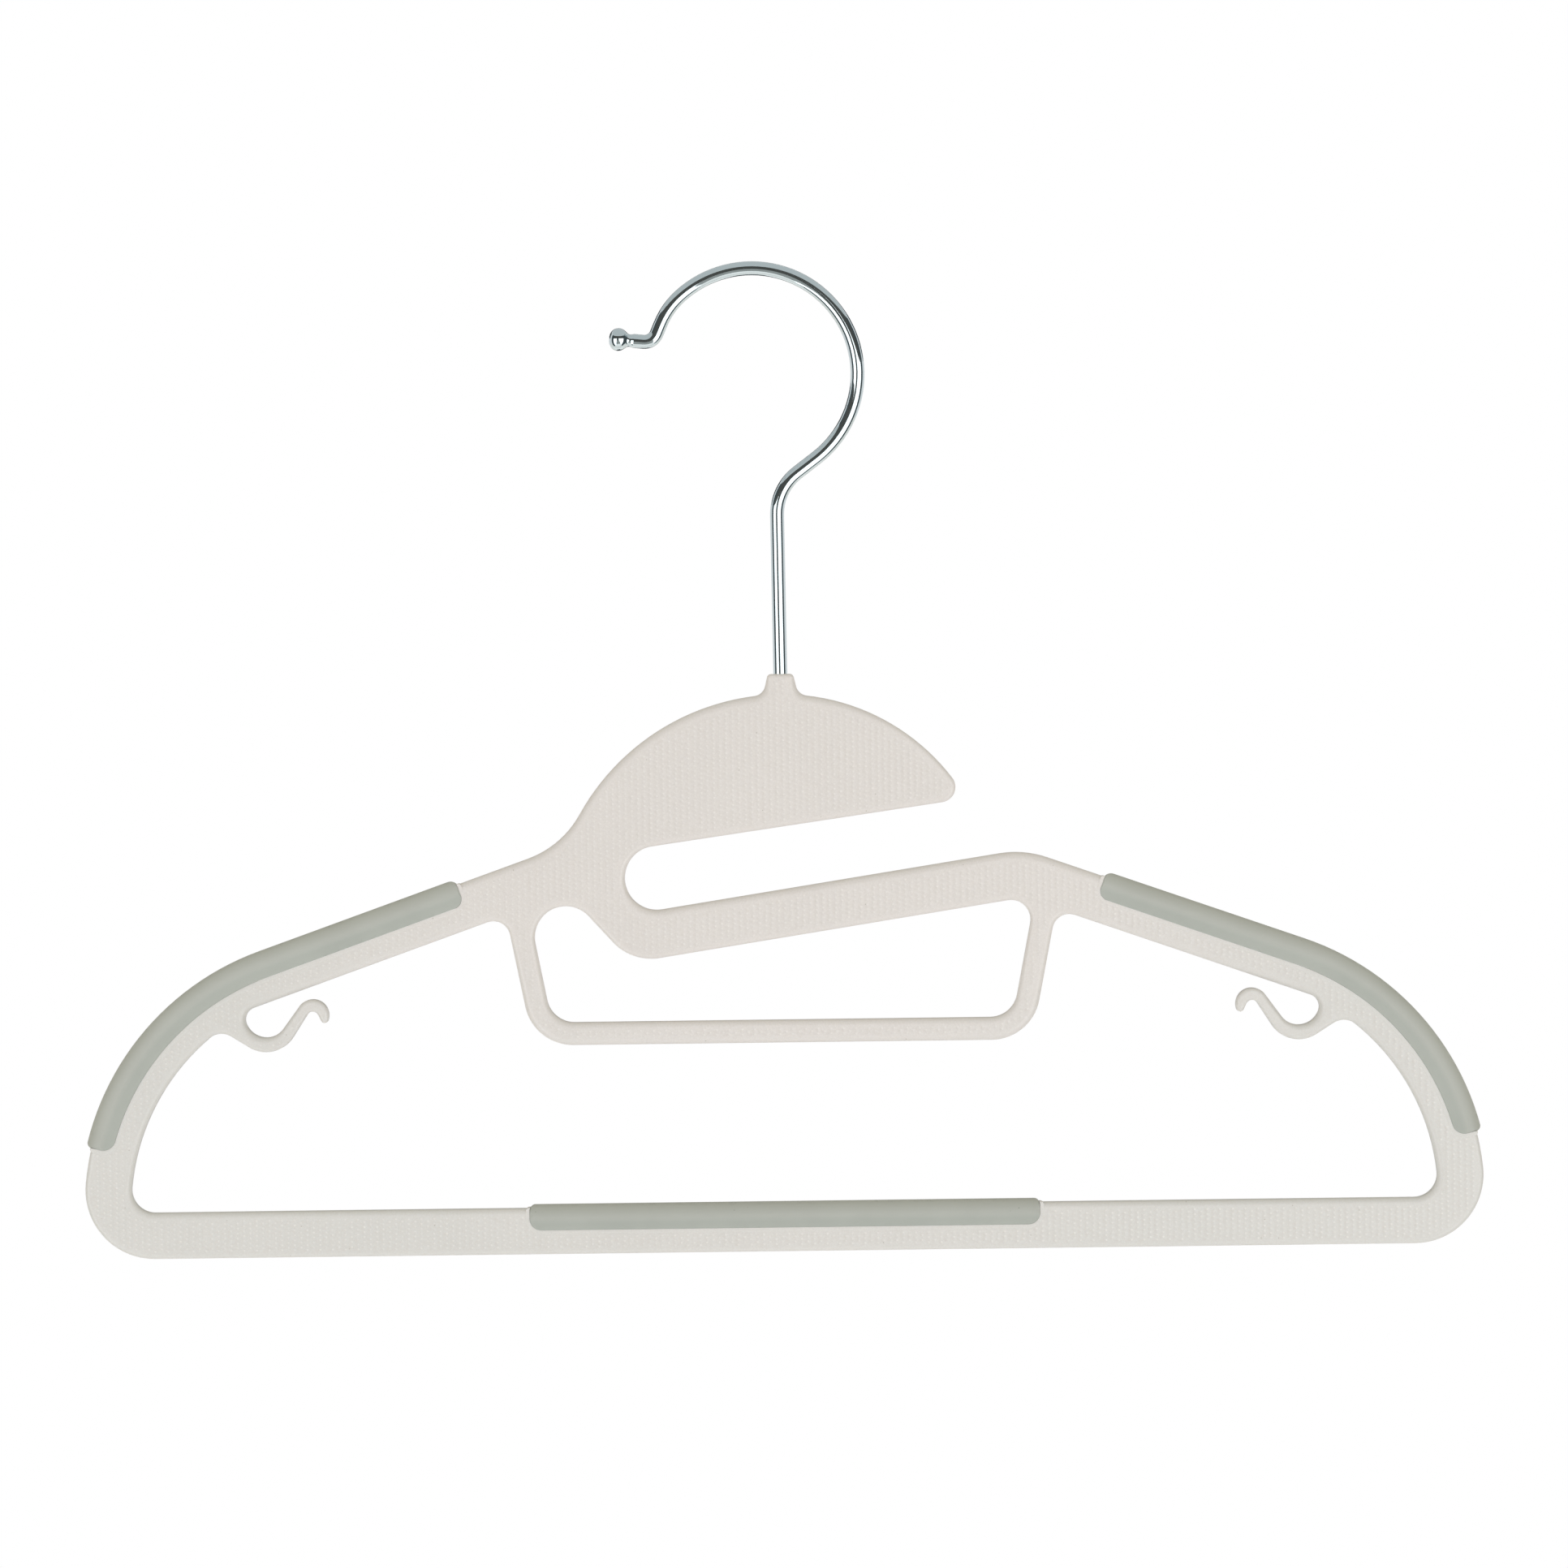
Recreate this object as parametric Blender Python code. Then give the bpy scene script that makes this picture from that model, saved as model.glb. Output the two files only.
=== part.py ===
"""A child's clothes hanger: a moulded plastic frame with three soft grips and a chromed swivel hook.

The model is in metres. The hanger hangs in the XZ plane with its front towards -Y. The origin is
the place where a rail touches the hook, and the hook's swivel axis is the Z axis through it.
"""

from math import acos, asin, atan2, ceil, cos, degrees, hypot, pi, radians, sin, sqrt, tan

import bmesh
import bpy
from mathutils import Vector
from mathutils.geometry import tessellate_polygon

MM = 0.001

# Frame: overall
HANGER_WIDTH = 320.0 * MM
FRAME_HEIGHT = 132.1 * MM
PANEL_THICKNESS = 6.0 * MM
PANEL_EDGE_RADIUS = 1.7 * MM
RAIL_WIDTH = 10.5 * MM

# Frame: shoulders and trouser bar
SHOULDER_ANGLE = 19.4
SHOULDER_DROP = 21.2 * MM
SHOULDER_RADIUS = 61.1 * MM
CORNER_RADIUS = 15.8 * MM

# Frame: neck boss and dome
BOSS_TOP_WIDTH = 5.8 * MM
BOSS_HEIGHT = 4.65 * MM
BOSS_TAPER = 13.3
BOSS_CORNER_RADIUS = 0.6 * MM
BOSS_EDGE_RADIUS = 0.5 * MM
BOSS_FOOT_RADIUS = 2.8 * MM
DOME_LEFT_RADIUS = 53.4 * MM
DOME_RIGHT_RADIUS = 48.7 * MM
NECK_OFFSET = 0.5 * MM
DOME_FOOT_RADIUS = 22.1 * MM
DOME_LIP_RADIUS = 3.5 * MM

# Frame: slanted slot for a tie, and the arm below it
ARM_ANGLE = 8.71
ARM_WIDTH = 10.9 * MM
ARM_DROP = 60.4 * MM
ARM_CREST_RADIUS = 22.5 * MM
SLOT_RADIUS = 7.3 * MM
SLOT_REACH = 28.4 * MM
SLOT_UPPER_ANGLE = 7.93
SLOT_WALL = 10.05 * MM
SLOT_WALL_ANGLE = 47.7
SLOT_WALL_CORNER_RADIUS = 12.0 * MM

# Frame: hanging loop
LOOP_WIDTH = 5.2 * MM
LOOP_DROP = 79.15 * MM
LOOP_BASE_HALF_WIDTH = 52.8 * MM
LOOP_LEAN = 11.2
LOOP_LEFT_RADIUS = 7.15 * MM
LOOP_RIGHT_RADIUS = 4.5 * MM
LOOP_INNER_RADIUS = 6.3 * MM
LOOP_OUTER_RADIUS = 11.15 * MM
LOOP_FOOT_RADIUS = 3.9 * MM

# Frame: strap hooks. Their centres are measured from where the shoulder's underside starts to bend
VALLEY_OUT = 2.25 * MM
VALLEY_DOWN = 3.7 * MM
VALLEY_RADIUS = 4.9 * MM
VALLEY_END_RADIUS = 2.8 * MM
VALLEY_BELLY_RADIUS = 7.25 * MM
VALLEY_BELLY_DOWN = 1.0 * MM
CROWN_REACH = 10.65 * MM
CROWN_RADIUS = 3.7 * MM
CROWN_NOTCH_RADIUS = 1.5 * MM
CROWN_NOTCH_DOWN = 0.6 * MM
TIP_RADIUS = 0.85 * MM
TIP_ANGLE = 198.0
STRAP_EDGE_RADIUS = 0.8 * MM
STRAP_ROOT_RADIUS = 4.3 * MM
STRAP_ROOT_REACH = 13.15 * MM

# Soft grips, and the thin tongue of the frame that they wrap
GRIP_PROUD = 1.3 * MM
BAR_GRIP_PROUD = 0.9 * MM
GRIP_FACE_PROUD = 0.35 * MM
GRIP_REACH = 5.0 * MM
GRIP_EDGE_RADIUS = 1.9 * MM
GRIP_END_EDGE_RADIUS = 1.2 * MM
GRIP_RIM_RADIUS = 0.3 * MM
GRIP_GAP = 0.3 * MM
GRIP_UPPER_PLACE = 74.1 * MM
GRIP_LOWER_SETBACK = 8.3 * MM
GRIP_UPPER_OUTER_RADIUS = 1.9 * MM
GRIP_UPPER_INNER_RADIUS = 2.3 * MM
GRIP_LOWER_OUTER_RADIUS = 1.3 * MM
GRIP_LOWER_INNER_RADIUS = 2.9 * MM
BAR_GRIP_WIDTH = 116.8 * MM
BAR_GRIP_UPPER_RADIUS = 1.4 * MM
BAR_GRIP_LOWER_RADIUS = 2.7 * MM
TONGUE_THICKNESS = 3.2 * MM
TONGUE_SETBACK = 1.2 * MM
RIVET_DIAMETER = 2.0 * MM
RIVETS_ON_SHOULDER = 6
RIVETS_ON_BAR = 5

# Flat lands of the frame round the grips, where the grips' mould shuts
LAND_WIDTH = 0.95 * MM
LAND_PROUD = 0.2 * MM
LAND_FACE_PROUD = 0.06 * MM
LAND_CORNER_RADIUS = 0.8 * MM
LAND_EDGE_RADIUS = 0.25 * MM

# Swivel hook
WIRE_DIAMETER = 3.2 * MM
HOOK_INSIDE_RADIUS = 22.65 * MM
CROWN_OFFSET = 5.7 * MM
SHANK_REACH = 90.7 * MM
SHANK_BEND_RADIUS = 12.0 * MM
RISER_ANGLE = 37.0
LIP_RADIUS = 18.0 * MM
LIP_START_ANGLE = 132.0
LIP_END_ANGLE = 157.0
LIP_DROP = 4.56 * MM
TIP_BEND_RADIUS = 3.0 * MM
TIP_RUN = 7.95 * MM
TIP_RISE = 6.0
BALL_DIAMETER = 5.2 * MM
BALL_NECK_DIAMETER = 2.8 * MM

# Swivel: what holds the wire in the neck
BORE_DEPTH = 17.0 * MM
BORE_CLEARANCE = 0.25 * MM
GROOVE_DIAMETER = 2.0 * MM
GROOVE_LENGTH = 2.6 * MM
GROOVE_DEPTH_IN_BORE = 9.0 * MM
GROOVE_RAMP = 0.5 * MM
AXIAL_CLEARANCE = 0.35 * MM
WIRE_END_CHAMFER = 0.5 * MM

# How far a cutter runs past what it cuts
OVERRUN = 3.0 * MM

# Facets, and the angle from which an edge between two of them stays sharp
ARC_FLATNESS = 0.045 * MM
EDGE_STEPS = 3
WIRE_SIDES = 16
BORE_SIDES = 24
RIVET_SIDES = 12
SHARP_ANGLE = 30.0

# Levels, from the rail seat at zero
PANEL_HALF = PANEL_THICKNESS / 2
BOSS_TOP = -SHANK_REACH
DOME_TOP = BOSS_TOP - BOSS_HEIGHT
FRAME_BOTTOM = BOSS_TOP - FRAME_HEIGHT


class Line:
    """An endless straight edge, run in the direction of its angle."""

    def __init__(self, point, angle):
        self.point = point
        self.angle = angle
        self.along = (cos(radians(angle)), sin(radians(angle)))
        self.left = (-self.along[1], self.along[0])

    def beside(self, distance):
        """The same edge moved to its left."""
        return Line(add(self.point, self.left, distance), self.angle)

    def place(self, point):
        """How far along the edge a point lies."""
        return dot(subtract(point, self.point), self.along)


class Ring:
    """A circle, run counter-clockwise where its radius is positive and clockwise where it is negative."""

    def __init__(self, centre, radius):
        self.centre = centre
        self.radius = radius

    def beside(self, distance):
        """The same circle moved to its left, which is towards its centre if it runs counter-clockwise."""
        return Ring(self.centre, self.radius - distance)


def subtract(a, b):
    return (a[0] - b[0], a[1] - b[1])


def add(a, direction, distance):
    return (a[0] + direction[0] * distance, a[1] + direction[1] * distance)


def dot(a, b):
    return a[0] * b[0] + a[1] * b[1]


def polar(centre, radius, angle):
    """The point at a radius and an angle in degrees about a centre."""
    return (centre[0] + radius * cos(radians(angle)), centre[1] + radius * sin(radians(angle)))


def nearest(points, near):
    return min(points, key=lambda p: hypot(p[0] - near[0], p[1] - near[1]))


def meet(a, b, near):
    """Where two edges cross, nearest to a point."""
    if isinstance(a, Ring) and isinstance(b, Line):
        a, b = b, a
    if isinstance(a, Line) and isinstance(b, Line):
        turn = a.along[0] * b.along[1] - a.along[1] * b.along[0]
        gap = subtract(b.point, a.point)
        return add(a.point, a.along, (gap[0] * b.along[1] - gap[1] * b.along[0]) / turn)
    if isinstance(a, Line):
        foot = add(a.point, a.along, a.place(b.centre))
        off = subtract(foot, b.centre)
        half_chord = sqrt(b.radius**2 - dot(off, off))
        return nearest([add(foot, a.along, half_chord), add(foot, a.along, -half_chord)], near)
    gap = subtract(b.centre, a.centre)
    distance = hypot(*gap)
    along = (gap[0] / distance, gap[1] / distance)
    reach = (distance**2 + a.radius**2 - b.radius**2) / (2 * distance)
    height = sqrt(a.radius**2 - reach**2)
    foot = add(a.centre, along, reach)
    across = (-along[1], along[0])
    return nearest([add(foot, across, height), add(foot, across, -height)], near)


def contact(shape, ring):
    """Where a ring touches a line or another ring that it is tangent to."""
    if isinstance(shape, Line):
        return add(ring.centre, shape.left, -ring.radius)
    share = shape.radius / (shape.radius - ring.radius)
    return add(shape.centre, subtract(ring.centre, shape.centre), share)


class Fillet:
    """Joins two edges with an arc. A positive radius turns left, and a negative one turns right."""

    def __init__(self, radius, edge, near=(0.0, 0.0)):
        self.radius = radius
        self.edge = edge
        self.near = near

    def ends(self, a, b):
        arc = Ring(meet(a.beside(self.radius), b.beside(self.radius), self.near), self.radius)
        return contact(a, arc), arc, contact(b, arc)


class Touch:
    """Joins two edges that are tangent already."""

    def __init__(self, edge):
        self.edge = edge

    def ends(self, a, b):
        point = contact(a, b) if isinstance(b, Ring) else contact(b, a)
        return point, None, point


class Span:
    """Joins two rings with the straight edge that is tangent to both."""

    def __init__(self, edge):
        self.edge = edge

    def ends(self, a, b):
        gap = subtract(b.centre, a.centre)
        angle = atan2(gap[1], gap[0]) - asin((b.radius - a.radius) / hypot(*gap))
        left = (-sin(angle), cos(angle))
        return add(a.centre, left, -a.radius), None, add(b.centre, left, -b.radius)


def arc_points(ring, start, end, edge_start, edge_end):
    """Points along a ring in its own direction, each with its outward normal and its edge radius."""
    first = atan2(start[1] - ring.centre[1], start[0] - ring.centre[0])
    last = atan2(end[1] - ring.centre[1], end[0] - ring.centre[0])
    sign = 1 if ring.radius > 0 else -1
    sweep = (last - first) * sign % (2 * pi)
    radius = abs(ring.radius)
    step = 2 * acos(1 - min(ARC_FLATNESS / radius, 0.5))
    count = max(2, ceil(sweep / step))
    points = []
    for i in range(count + 1):
        share = i / count
        angle = first + sign * sweep * share
        normal = (cos(angle) * sign, sin(angle) * sign)
        place = (ring.centre[0] + radius * cos(angle), ring.centre[1] + radius * sin(angle))
        points.append((place, normal, edge_start + (edge_end - edge_start) * share))
    return points


def line_points(angle, start, end, edge_start, edge_end):
    """The same along a straight edge. Only an edge radius that changes needs points between the ends."""
    normal = (sin(angle), -cos(angle))
    count = 1 if abs(edge_start - edge_end) < ARC_FLATNESS else 5
    points = []
    for i in range(count + 1):
        share = i / count
        place = (start[0] + (end[0] - start[0]) * share, start[1] + (end[1] - start[1]) * share)
        points.append((place, normal, edge_start + (edge_end - edge_start) * share))
    return points


def run_of(shape, start, end, edge_start, edge_end):
    if isinstance(shape, Line):
        return line_points(radians(shape.angle), start, end, edge_start, edge_end)
    return arc_points(shape, start, end, edge_start, edge_end)


def trace(shapes, joins, start=None, end=None):
    """The points of an outline, given its edges and what joins each edge to the next.

    The material lies to the left. With a start and an end the outline is open, and otherwise the
    last join closes it.
    """
    closed = start is None
    pairs = list(zip(shapes, shapes[1:] + shapes[:1]))
    ends = [join.ends(a, b) for join, (a, b) in zip(joins, pairs)]
    points = []
    for i, shape in enumerate(shapes):
        before = i - 1 if i or closed else None
        after = i if i < len(joins) else None
        enter = start if before is None else ends[before][2]
        leave = end if after is None else ends[after][0]
        edge_in = joins[before].edge if before is not None else joins[after].edge
        edge_out = joins[after].edge if after is not None else joins[before].edge
        points += run_of(shape, enter, leave, edge_in, edge_out)
        if after is None:
            continue
        arc = ends[after][1]
        if arc:
            points += arc_points(arc, leave, ends[after][2], edge_out, edge_out)
        elif isinstance(joins[after], Span):
            far = ends[after][2]
            angle = atan2(far[1] - leave[1], far[0] - leave[0])
            points += line_points(angle, leave, far, edge_out, edge_out)
    return without_repeats(points, closed)


def without_repeats(points, closed):
    """Drops each point that lies on the one before it."""
    kept = []
    for point in points:
        if kept and hypot(*subtract(point[0], kept[-1][0])) < ARC_FLATNESS / 5:
            continue
        kept.append(point)
    if closed and hypot(*subtract(kept[0][0], kept[-1][0])) < ARC_FLATNESS / 5:
        kept.pop()
    return kept


def mirrored(points):
    """The outline on the other side of the swivel axis, still with its material to the left."""
    return [((-p[0], p[1]), (-n[0], n[1]), edge) for p, n, edge in reversed(points)]


def whole(right, left=None):
    """A closed outline from its right half, which starts and ends on the swivel axis.

    Both edges there run straight across, so the points on the axis are left out.
    """
    return right[1:-1] + mirrored(left or right)[1:-1]


def mesh_object(name, vertices, faces, material=None):
    mesh = bpy.data.meshes.new(name)
    mesh.from_pydata(vertices, [], faces)
    work = bmesh.new()
    work.from_mesh(mesh)
    bmesh.ops.recalc_face_normals(work, faces=work.faces)
    work.to_mesh(mesh)
    work.free()
    mesh.shade_smooth()
    mesh.set_sharp_from_angle(angle=radians(SHARP_ANGLE))
    if material:
        mesh.materials.append(material)
    thing = bpy.data.objects.new(name, mesh)
    bpy.context.scene.collection.objects.link(thing)
    return thing


def plate(name, bodies, half, material=None, rounded=True):
    """Flat bodies between y = -half and y = half, with the edges of their outlines rounded.

    Each body is a list of outlines: first the outside, then its openings.
    """
    turns = [i * pi / 2 / EDGE_STEPS for i in range(EDGE_STEPS + 1)] if rounded else [pi / 2]
    levels = [(1 - sin(t), cos(t) - 1, -1) for t in turns]
    levels += [(inset, rise, 1) for inset, rise, _ in reversed(levels)]
    vertices = []
    faces = []
    for outlines in bodies:
        fronts = []
        backs = []
        for outline in outlines:
            count = len(outline)
            base = len(vertices)
            for inset, rise, side in levels:
                for (x, z), (nx, nz), edge in outline:
                    edge = edge if rounded else 0.0
                    across = inset * edge
                    y = side * (half + rise * edge)
                    vertices.append((x - nx * across - NECK_OFFSET, y, z - nz * across))
            faces += tube_faces(base, len(levels), count)
            fronts.append(range(base, base + count))
            backs.append(range(base + (len(levels) - 1) * count, base + len(levels) * count))
        for loops in (fronts, backs):
            flat = [index for loop in loops for index in loop]
            rings = [[Vector((vertices[i][0], vertices[i][2], 0.0)) for i in loop] for loop in loops]
            faces += [tuple(flat[i] for i in triangle) for triangle in tessellate_polygon(rings)]
    return mesh_object(name, vertices, faces, material)


def tube_faces(base, levels, count):
    """The faces between rings of points that follow each other in the list of vertices."""
    faces = []
    for level in range(levels - 1):
        for i in range(count):
            a = base + level * count + i
            b = base + level * count + (i + 1) % count
            faces.append((a, b, b + count, a + count))
    return faces


def turned(name, profile, sides, material=None):
    """A solid of revolution about the swivel axis from (radius, height) points, closed at both ends."""
    vertices = []
    for radius, height in profile:
        for i in range(sides):
            angle = 2 * pi * i / sides
            vertices.append((radius * cos(angle), radius * sin(angle), height))
    faces = tube_faces(0, len(profile), sides)
    faces.append(tuple(range(sides)))
    faces.append(tuple(range((len(profile) - 1) * sides, len(profile) * sides)))
    return mesh_object(name, vertices, faces, material)


def helper(thing):
    """Marks a cutter, which isn't part of the hanger."""
    thing.hide_render = True
    thing.display_type = "WIRE"
    return thing


def combine(thing, other, operation):
    """The exact solver drops small wall facets at the grips' round corners, so this is the manifold one."""
    boolean = thing.modifiers.new(other.name, "BOOLEAN")
    boolean.operation = operation
    boolean.object = other
    boolean.solver = "MANIFOLD"


def finish_material(name, colour, roughness, metallic=0.0):
    material = bpy.data.materials.new(name)
    material.use_nodes = True
    shader = material.node_tree.nodes["Principled BSDF"]
    shader.inputs["Base Color"].default_value = (*colour, 1.0)
    shader.inputs["Roughness"].default_value = roughness
    shader.inputs["Metallic"].default_value = metallic
    material.diffuse_color = (*colour, 1.0)
    return material


# The edges that the frame and the grips share

HALF_WIDTH = HANGER_WIDTH / 2
CORNER_CENTRE = (HALF_WIDTH - CORNER_RADIUS, FRAME_BOTTOM + CORNER_RADIUS)
BOTTOM = Line((0.0, FRAME_BOTTOM), 0.0)
BAR_TOP = Line((0.0, FRAME_BOTTOM + RAIL_WIDTH), 180.0)
SHOULDER = Line((0.0, BOSS_TOP - SHOULDER_DROP), 180.0 - SHOULDER_ANGLE)
SHOULDER_UNDER = Line(SHOULDER.beside(RAIL_WIDTH).point, -SHOULDER_ANGLE)
SHOULDER_CENTRE = meet(
    SHOULDER.beside(SHOULDER_RADIUS),
    Ring(CORNER_CENTRE, SHOULDER_RADIUS - CORNER_RADIUS),
    (HALF_WIDTH - SHOULDER_RADIUS, FRAME_BOTTOM),
)
SHOULDER_END = subtract(CORNER_CENTRE, SHOULDER_CENTRE)
SHOULDER_END_ANGLE = degrees(atan2(SHOULDER_END[1], SHOULDER_END[0]))
GRIP_LOWER_ANGLE = SHOULDER_END_ANGLE + degrees(GRIP_LOWER_SETBACK / SHOULDER_RADIUS)
ARM_UNDER = Line((0.0, BOSS_TOP - ARM_DROP), ARM_ANGLE)
SLOT_LOWER = Line(ARM_UNDER.beside(ARM_WIDTH).point, 180.0 + ARM_ANGLE)
SLOT_CENTRE = meet(SLOT_LOWER.beside(-SLOT_RADIUS), Line((-SLOT_REACH, 0.0), 90.0), (0.0, 0.0))
SLOT_END = Ring(SLOT_CENTRE, -SLOT_RADIUS)
SLOT_UPPER = Line(polar(SLOT_CENTRE, SLOT_RADIUS, 90.0 + SLOT_UPPER_ANGLE), SLOT_UPPER_ANGLE)


def neck_half(neck, dome_radius):
    """One side of the dome and the neck boss, up to the middle of the boss, and what joins their edges."""
    edge = PANEL_EDGE_RADIUS
    dome = Ring((neck, DOME_TOP - dome_radius), dome_radius)
    boss_side = Line((neck + BOSS_TOP_WIDTH / 2, BOSS_TOP), 90.0 + BOSS_TAPER)
    foot = (neck + BOSS_TOP_WIDTH, DOME_TOP)
    corner = (neck + BOSS_TOP_WIDTH / 2, BOSS_TOP)
    edges = [dome, boss_side, Line((neck, BOSS_TOP), 180.0)]
    joins = [
        Fillet(-BOSS_FOOT_RADIUS, edge, foot),
        Fillet(BOSS_CORNER_RADIUS, BOSS_EDGE_RADIUS, corner),
    ]
    return edges, joins


def outside():
    """The frame's outer edge, counter-clockwise from the middle of the bar."""
    edge = PANEL_EDGE_RADIUS
    shoulder = Ring(SHOULDER_CENTRE, SHOULDER_RADIUS)
    corner = Ring(CORNER_CENTRE, CORNER_RADIUS)
    crest = meet(SHOULDER, SLOT_LOWER, (0.0, 0.0))
    right_neck, right_joins = neck_half(NECK_OFFSET, DOME_RIGHT_RADIUS)
    lip = meet(right_neck[0], SLOT_UPPER, (DOME_RIGHT_RADIUS, DOME_TOP))
    right = trace(
        [BOTTOM, corner, shoulder, SHOULDER, SLOT_LOWER, SLOT_END, SLOT_UPPER, *right_neck],
        [
            Touch(edge),
            Touch(edge),
            Touch(edge),
            Fillet(ARM_CREST_RADIUS, edge, crest),
            Touch(edge),
            Touch(edge),
            Fillet(DOME_LIP_RADIUS, edge, lip),
            *right_joins,
        ],
        start=(0.0, FRAME_BOTTOM),
        end=(NECK_OFFSET, BOSS_TOP),
    )
    left_neck, left_joins = neck_half(-NECK_OFFSET, DOME_LEFT_RADIUS)
    foot = meet(left_neck[0], SHOULDER, (DOME_LEFT_RADIUS, DOME_TOP - DOME_LEFT_RADIUS / 2))
    left = trace(
        [BOTTOM, corner, shoulder, SHOULDER, *left_neck],
        [Touch(edge), Touch(edge), Touch(edge), Fillet(-DOME_FOOT_RADIUS, edge, foot), *left_joins],
        start=(0.0, FRAME_BOTTOM),
        end=(-NECK_OFFSET, BOSS_TOP),
    )
    return whole(right, left)


def main_opening():
    """The opening over the bar, with the loop's outside and both strap hooks."""
    edge = PANEL_EDGE_RADIUS
    thin = STRAP_EDGE_RADIUS
    lean = Line((LOOP_BASE_HALF_WIDTH, BOSS_TOP - LOOP_DROP), 90.0 - LOOP_LEAN)
    leg = lean.beside(-LOOP_WIDTH)
    base = Line((0.0, BOSS_TOP - LOOP_DROP - LOOP_WIDTH), 0.0)
    bend_start = polar(SHOULDER_CENTRE, SHOULDER_RADIUS - RAIL_WIDTH, 90.0 - SHOULDER_ANGLE)
    valley = (bend_start[0] + VALLEY_OUT, bend_start[1] - VALLEY_DOWN)
    belly = (valley[0], valley[1] - VALLEY_BELLY_DOWN)
    crown = (valley[0] - CROWN_REACH, valley[1])
    notch = (crown[0], crown[1] - CROWN_NOTCH_DOWN)
    tip = polar(crown, CROWN_RADIUS - TIP_RADIUS, TIP_ANGLE)
    inner = SHOULDER_RADIUS - RAIL_WIDTH
    root = meet(
        Ring(SHOULDER_CENTRE, inner - STRAP_ROOT_RADIUS),
        Ring(valley, STRAP_ROOT_REACH),
        (valley[0] + STRAP_ROOT_REACH, valley[1]),
    )
    half = trace(
        [
            base,
            leg,
            SHOULDER_UNDER,
            Ring(valley, -VALLEY_RADIUS),
            Ring(crown, CROWN_RADIUS),
            Ring(tip, TIP_RADIUS),
            Ring(notch, -CROWN_NOTCH_RADIUS),
            Ring(belly, VALLEY_BELLY_RADIUS),
            Ring(root, -STRAP_ROOT_RADIUS),
            Ring(SHOULDER_CENTRE, -inner),
            Ring(CORNER_CENTRE, -(CORNER_RADIUS - RAIL_WIDTH)),
            BAR_TOP,
        ],
        [
            Fillet(LOOP_OUTER_RADIUS, edge),
            Fillet(-LOOP_FOOT_RADIUS, edge),
            Fillet(-VALLEY_END_RADIUS, edge, (valley[0] + VALLEY_RADIUS, valley[1])),
            Span(thin),
            Touch(thin),
            Span(thin),
            Span(thin),
            Span(thin),
            Touch(edge),
            Touch(edge),
            Touch(edge),
        ],
        start=base.point,
        end=BAR_TOP.point,
    )
    return whole(half)


def loop_opening():
    """The loop's inside, clockwise from the underside of the arm."""
    edge = PANEL_EDGE_RADIUS
    bar = Line((0.0, BOSS_TOP - LOOP_DROP), 180.0)
    right_leg = Line((LOOP_BASE_HALF_WIDTH, bar.point[1]), -90.0 - LOOP_LEAN)
    left_leg = Line((-LOOP_BASE_HALF_WIDTH, bar.point[1]), 90.0 + LOOP_LEAN)
    wall_point = polar(SLOT_CENTRE, SLOT_RADIUS + SLOT_WALL, -90.0 - SLOT_WALL_ANGLE)
    slot_wall = Line(wall_point, -SLOT_WALL_ANGLE)
    return trace(
        [ARM_UNDER, right_leg, bar, left_leg, slot_wall],
        [
            Fillet(-LOOP_RIGHT_RADIUS, edge),
            Fillet(-LOOP_INNER_RADIUS, edge),
            Fillet(-LOOP_INNER_RADIUS, edge),
            Fillet(-LOOP_LEFT_RADIUS, edge),
            Fillet(SLOT_WALL_CORNER_RADIUS, edge),
        ],
    )


def shoulder_band(proud, reach, upper, lower_angle, grow=0.0, corners=None, edges=(0.0, 0.0, 0.0)):
    """A band that follows the right shoulder, from proud of its outer edge to reach inside it.

    It runs from the place upper, measured along the rail from the swivel axis, to lower_angle about
    the shoulder's centre, and grow widens it on every side.
    """
    outer_radius, inner_radius, low_outer, low_inner = corners or (OVERRUN,) * 4
    outer_edge, end_edge, rim_edge = edges
    outer = SHOULDER.beside(-proud - grow)
    inner = Line(SHOULDER.beside(reach + grow).point, -SHOULDER_ANGLE)
    upper_point = (upper - grow, SHOULDER.point[1] - upper * tan(radians(SHOULDER_ANGLE)))
    upper_end = Line(upper_point, 270.0 - SHOULDER_ANGLE)
    lower_end = Line(SHOULDER_CENTRE, lower_angle).beside(-grow)
    low_outer_near = polar(SHOULDER_CENTRE, SHOULDER_RADIUS + proud, lower_angle)
    low_inner_near = polar(SHOULDER_CENTRE, SHOULDER_RADIUS - reach, lower_angle)
    return trace(
        [
            lower_end,
            Ring(SHOULDER_CENTRE, SHOULDER_RADIUS + proud + grow),
            outer,
            upper_end,
            inner,
            Ring(SHOULDER_CENTRE, -(SHOULDER_RADIUS - reach - grow)),
        ],
        [
            Fillet(low_outer + grow, end_edge, low_outer_near),
            Touch(outer_edge),
            Fillet(outer_radius + grow, end_edge),
            Fillet(inner_radius + grow, rim_edge),
            Touch(rim_edge),
            Fillet(low_inner + grow, rim_edge, low_inner_near),
        ],
    )


def bar_band(proud, reach, half_width, grow=0.0, corners=None, edges=(0.0, 0.0, 0.0)):
    """The same along the bar's top edge, centred on the swivel axis."""
    upper_radius, lower_radius = corners or (OVERRUN, OVERRUN)
    outer_edge, end_edge, rim_edge = edges
    top = BAR_TOP.beside(-proud - grow)
    low = Line(BAR_TOP.beside(reach + grow).point, 0.0)
    right = Line((half_width + grow, 0.0), 90.0)
    half = trace(
        [low, right, top],
        [Fillet(lower_radius + grow, rim_edge), Fillet(upper_radius + grow, end_edge)],
        start=low.point,
        end=top.point,
    )
    return whole(half)


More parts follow.
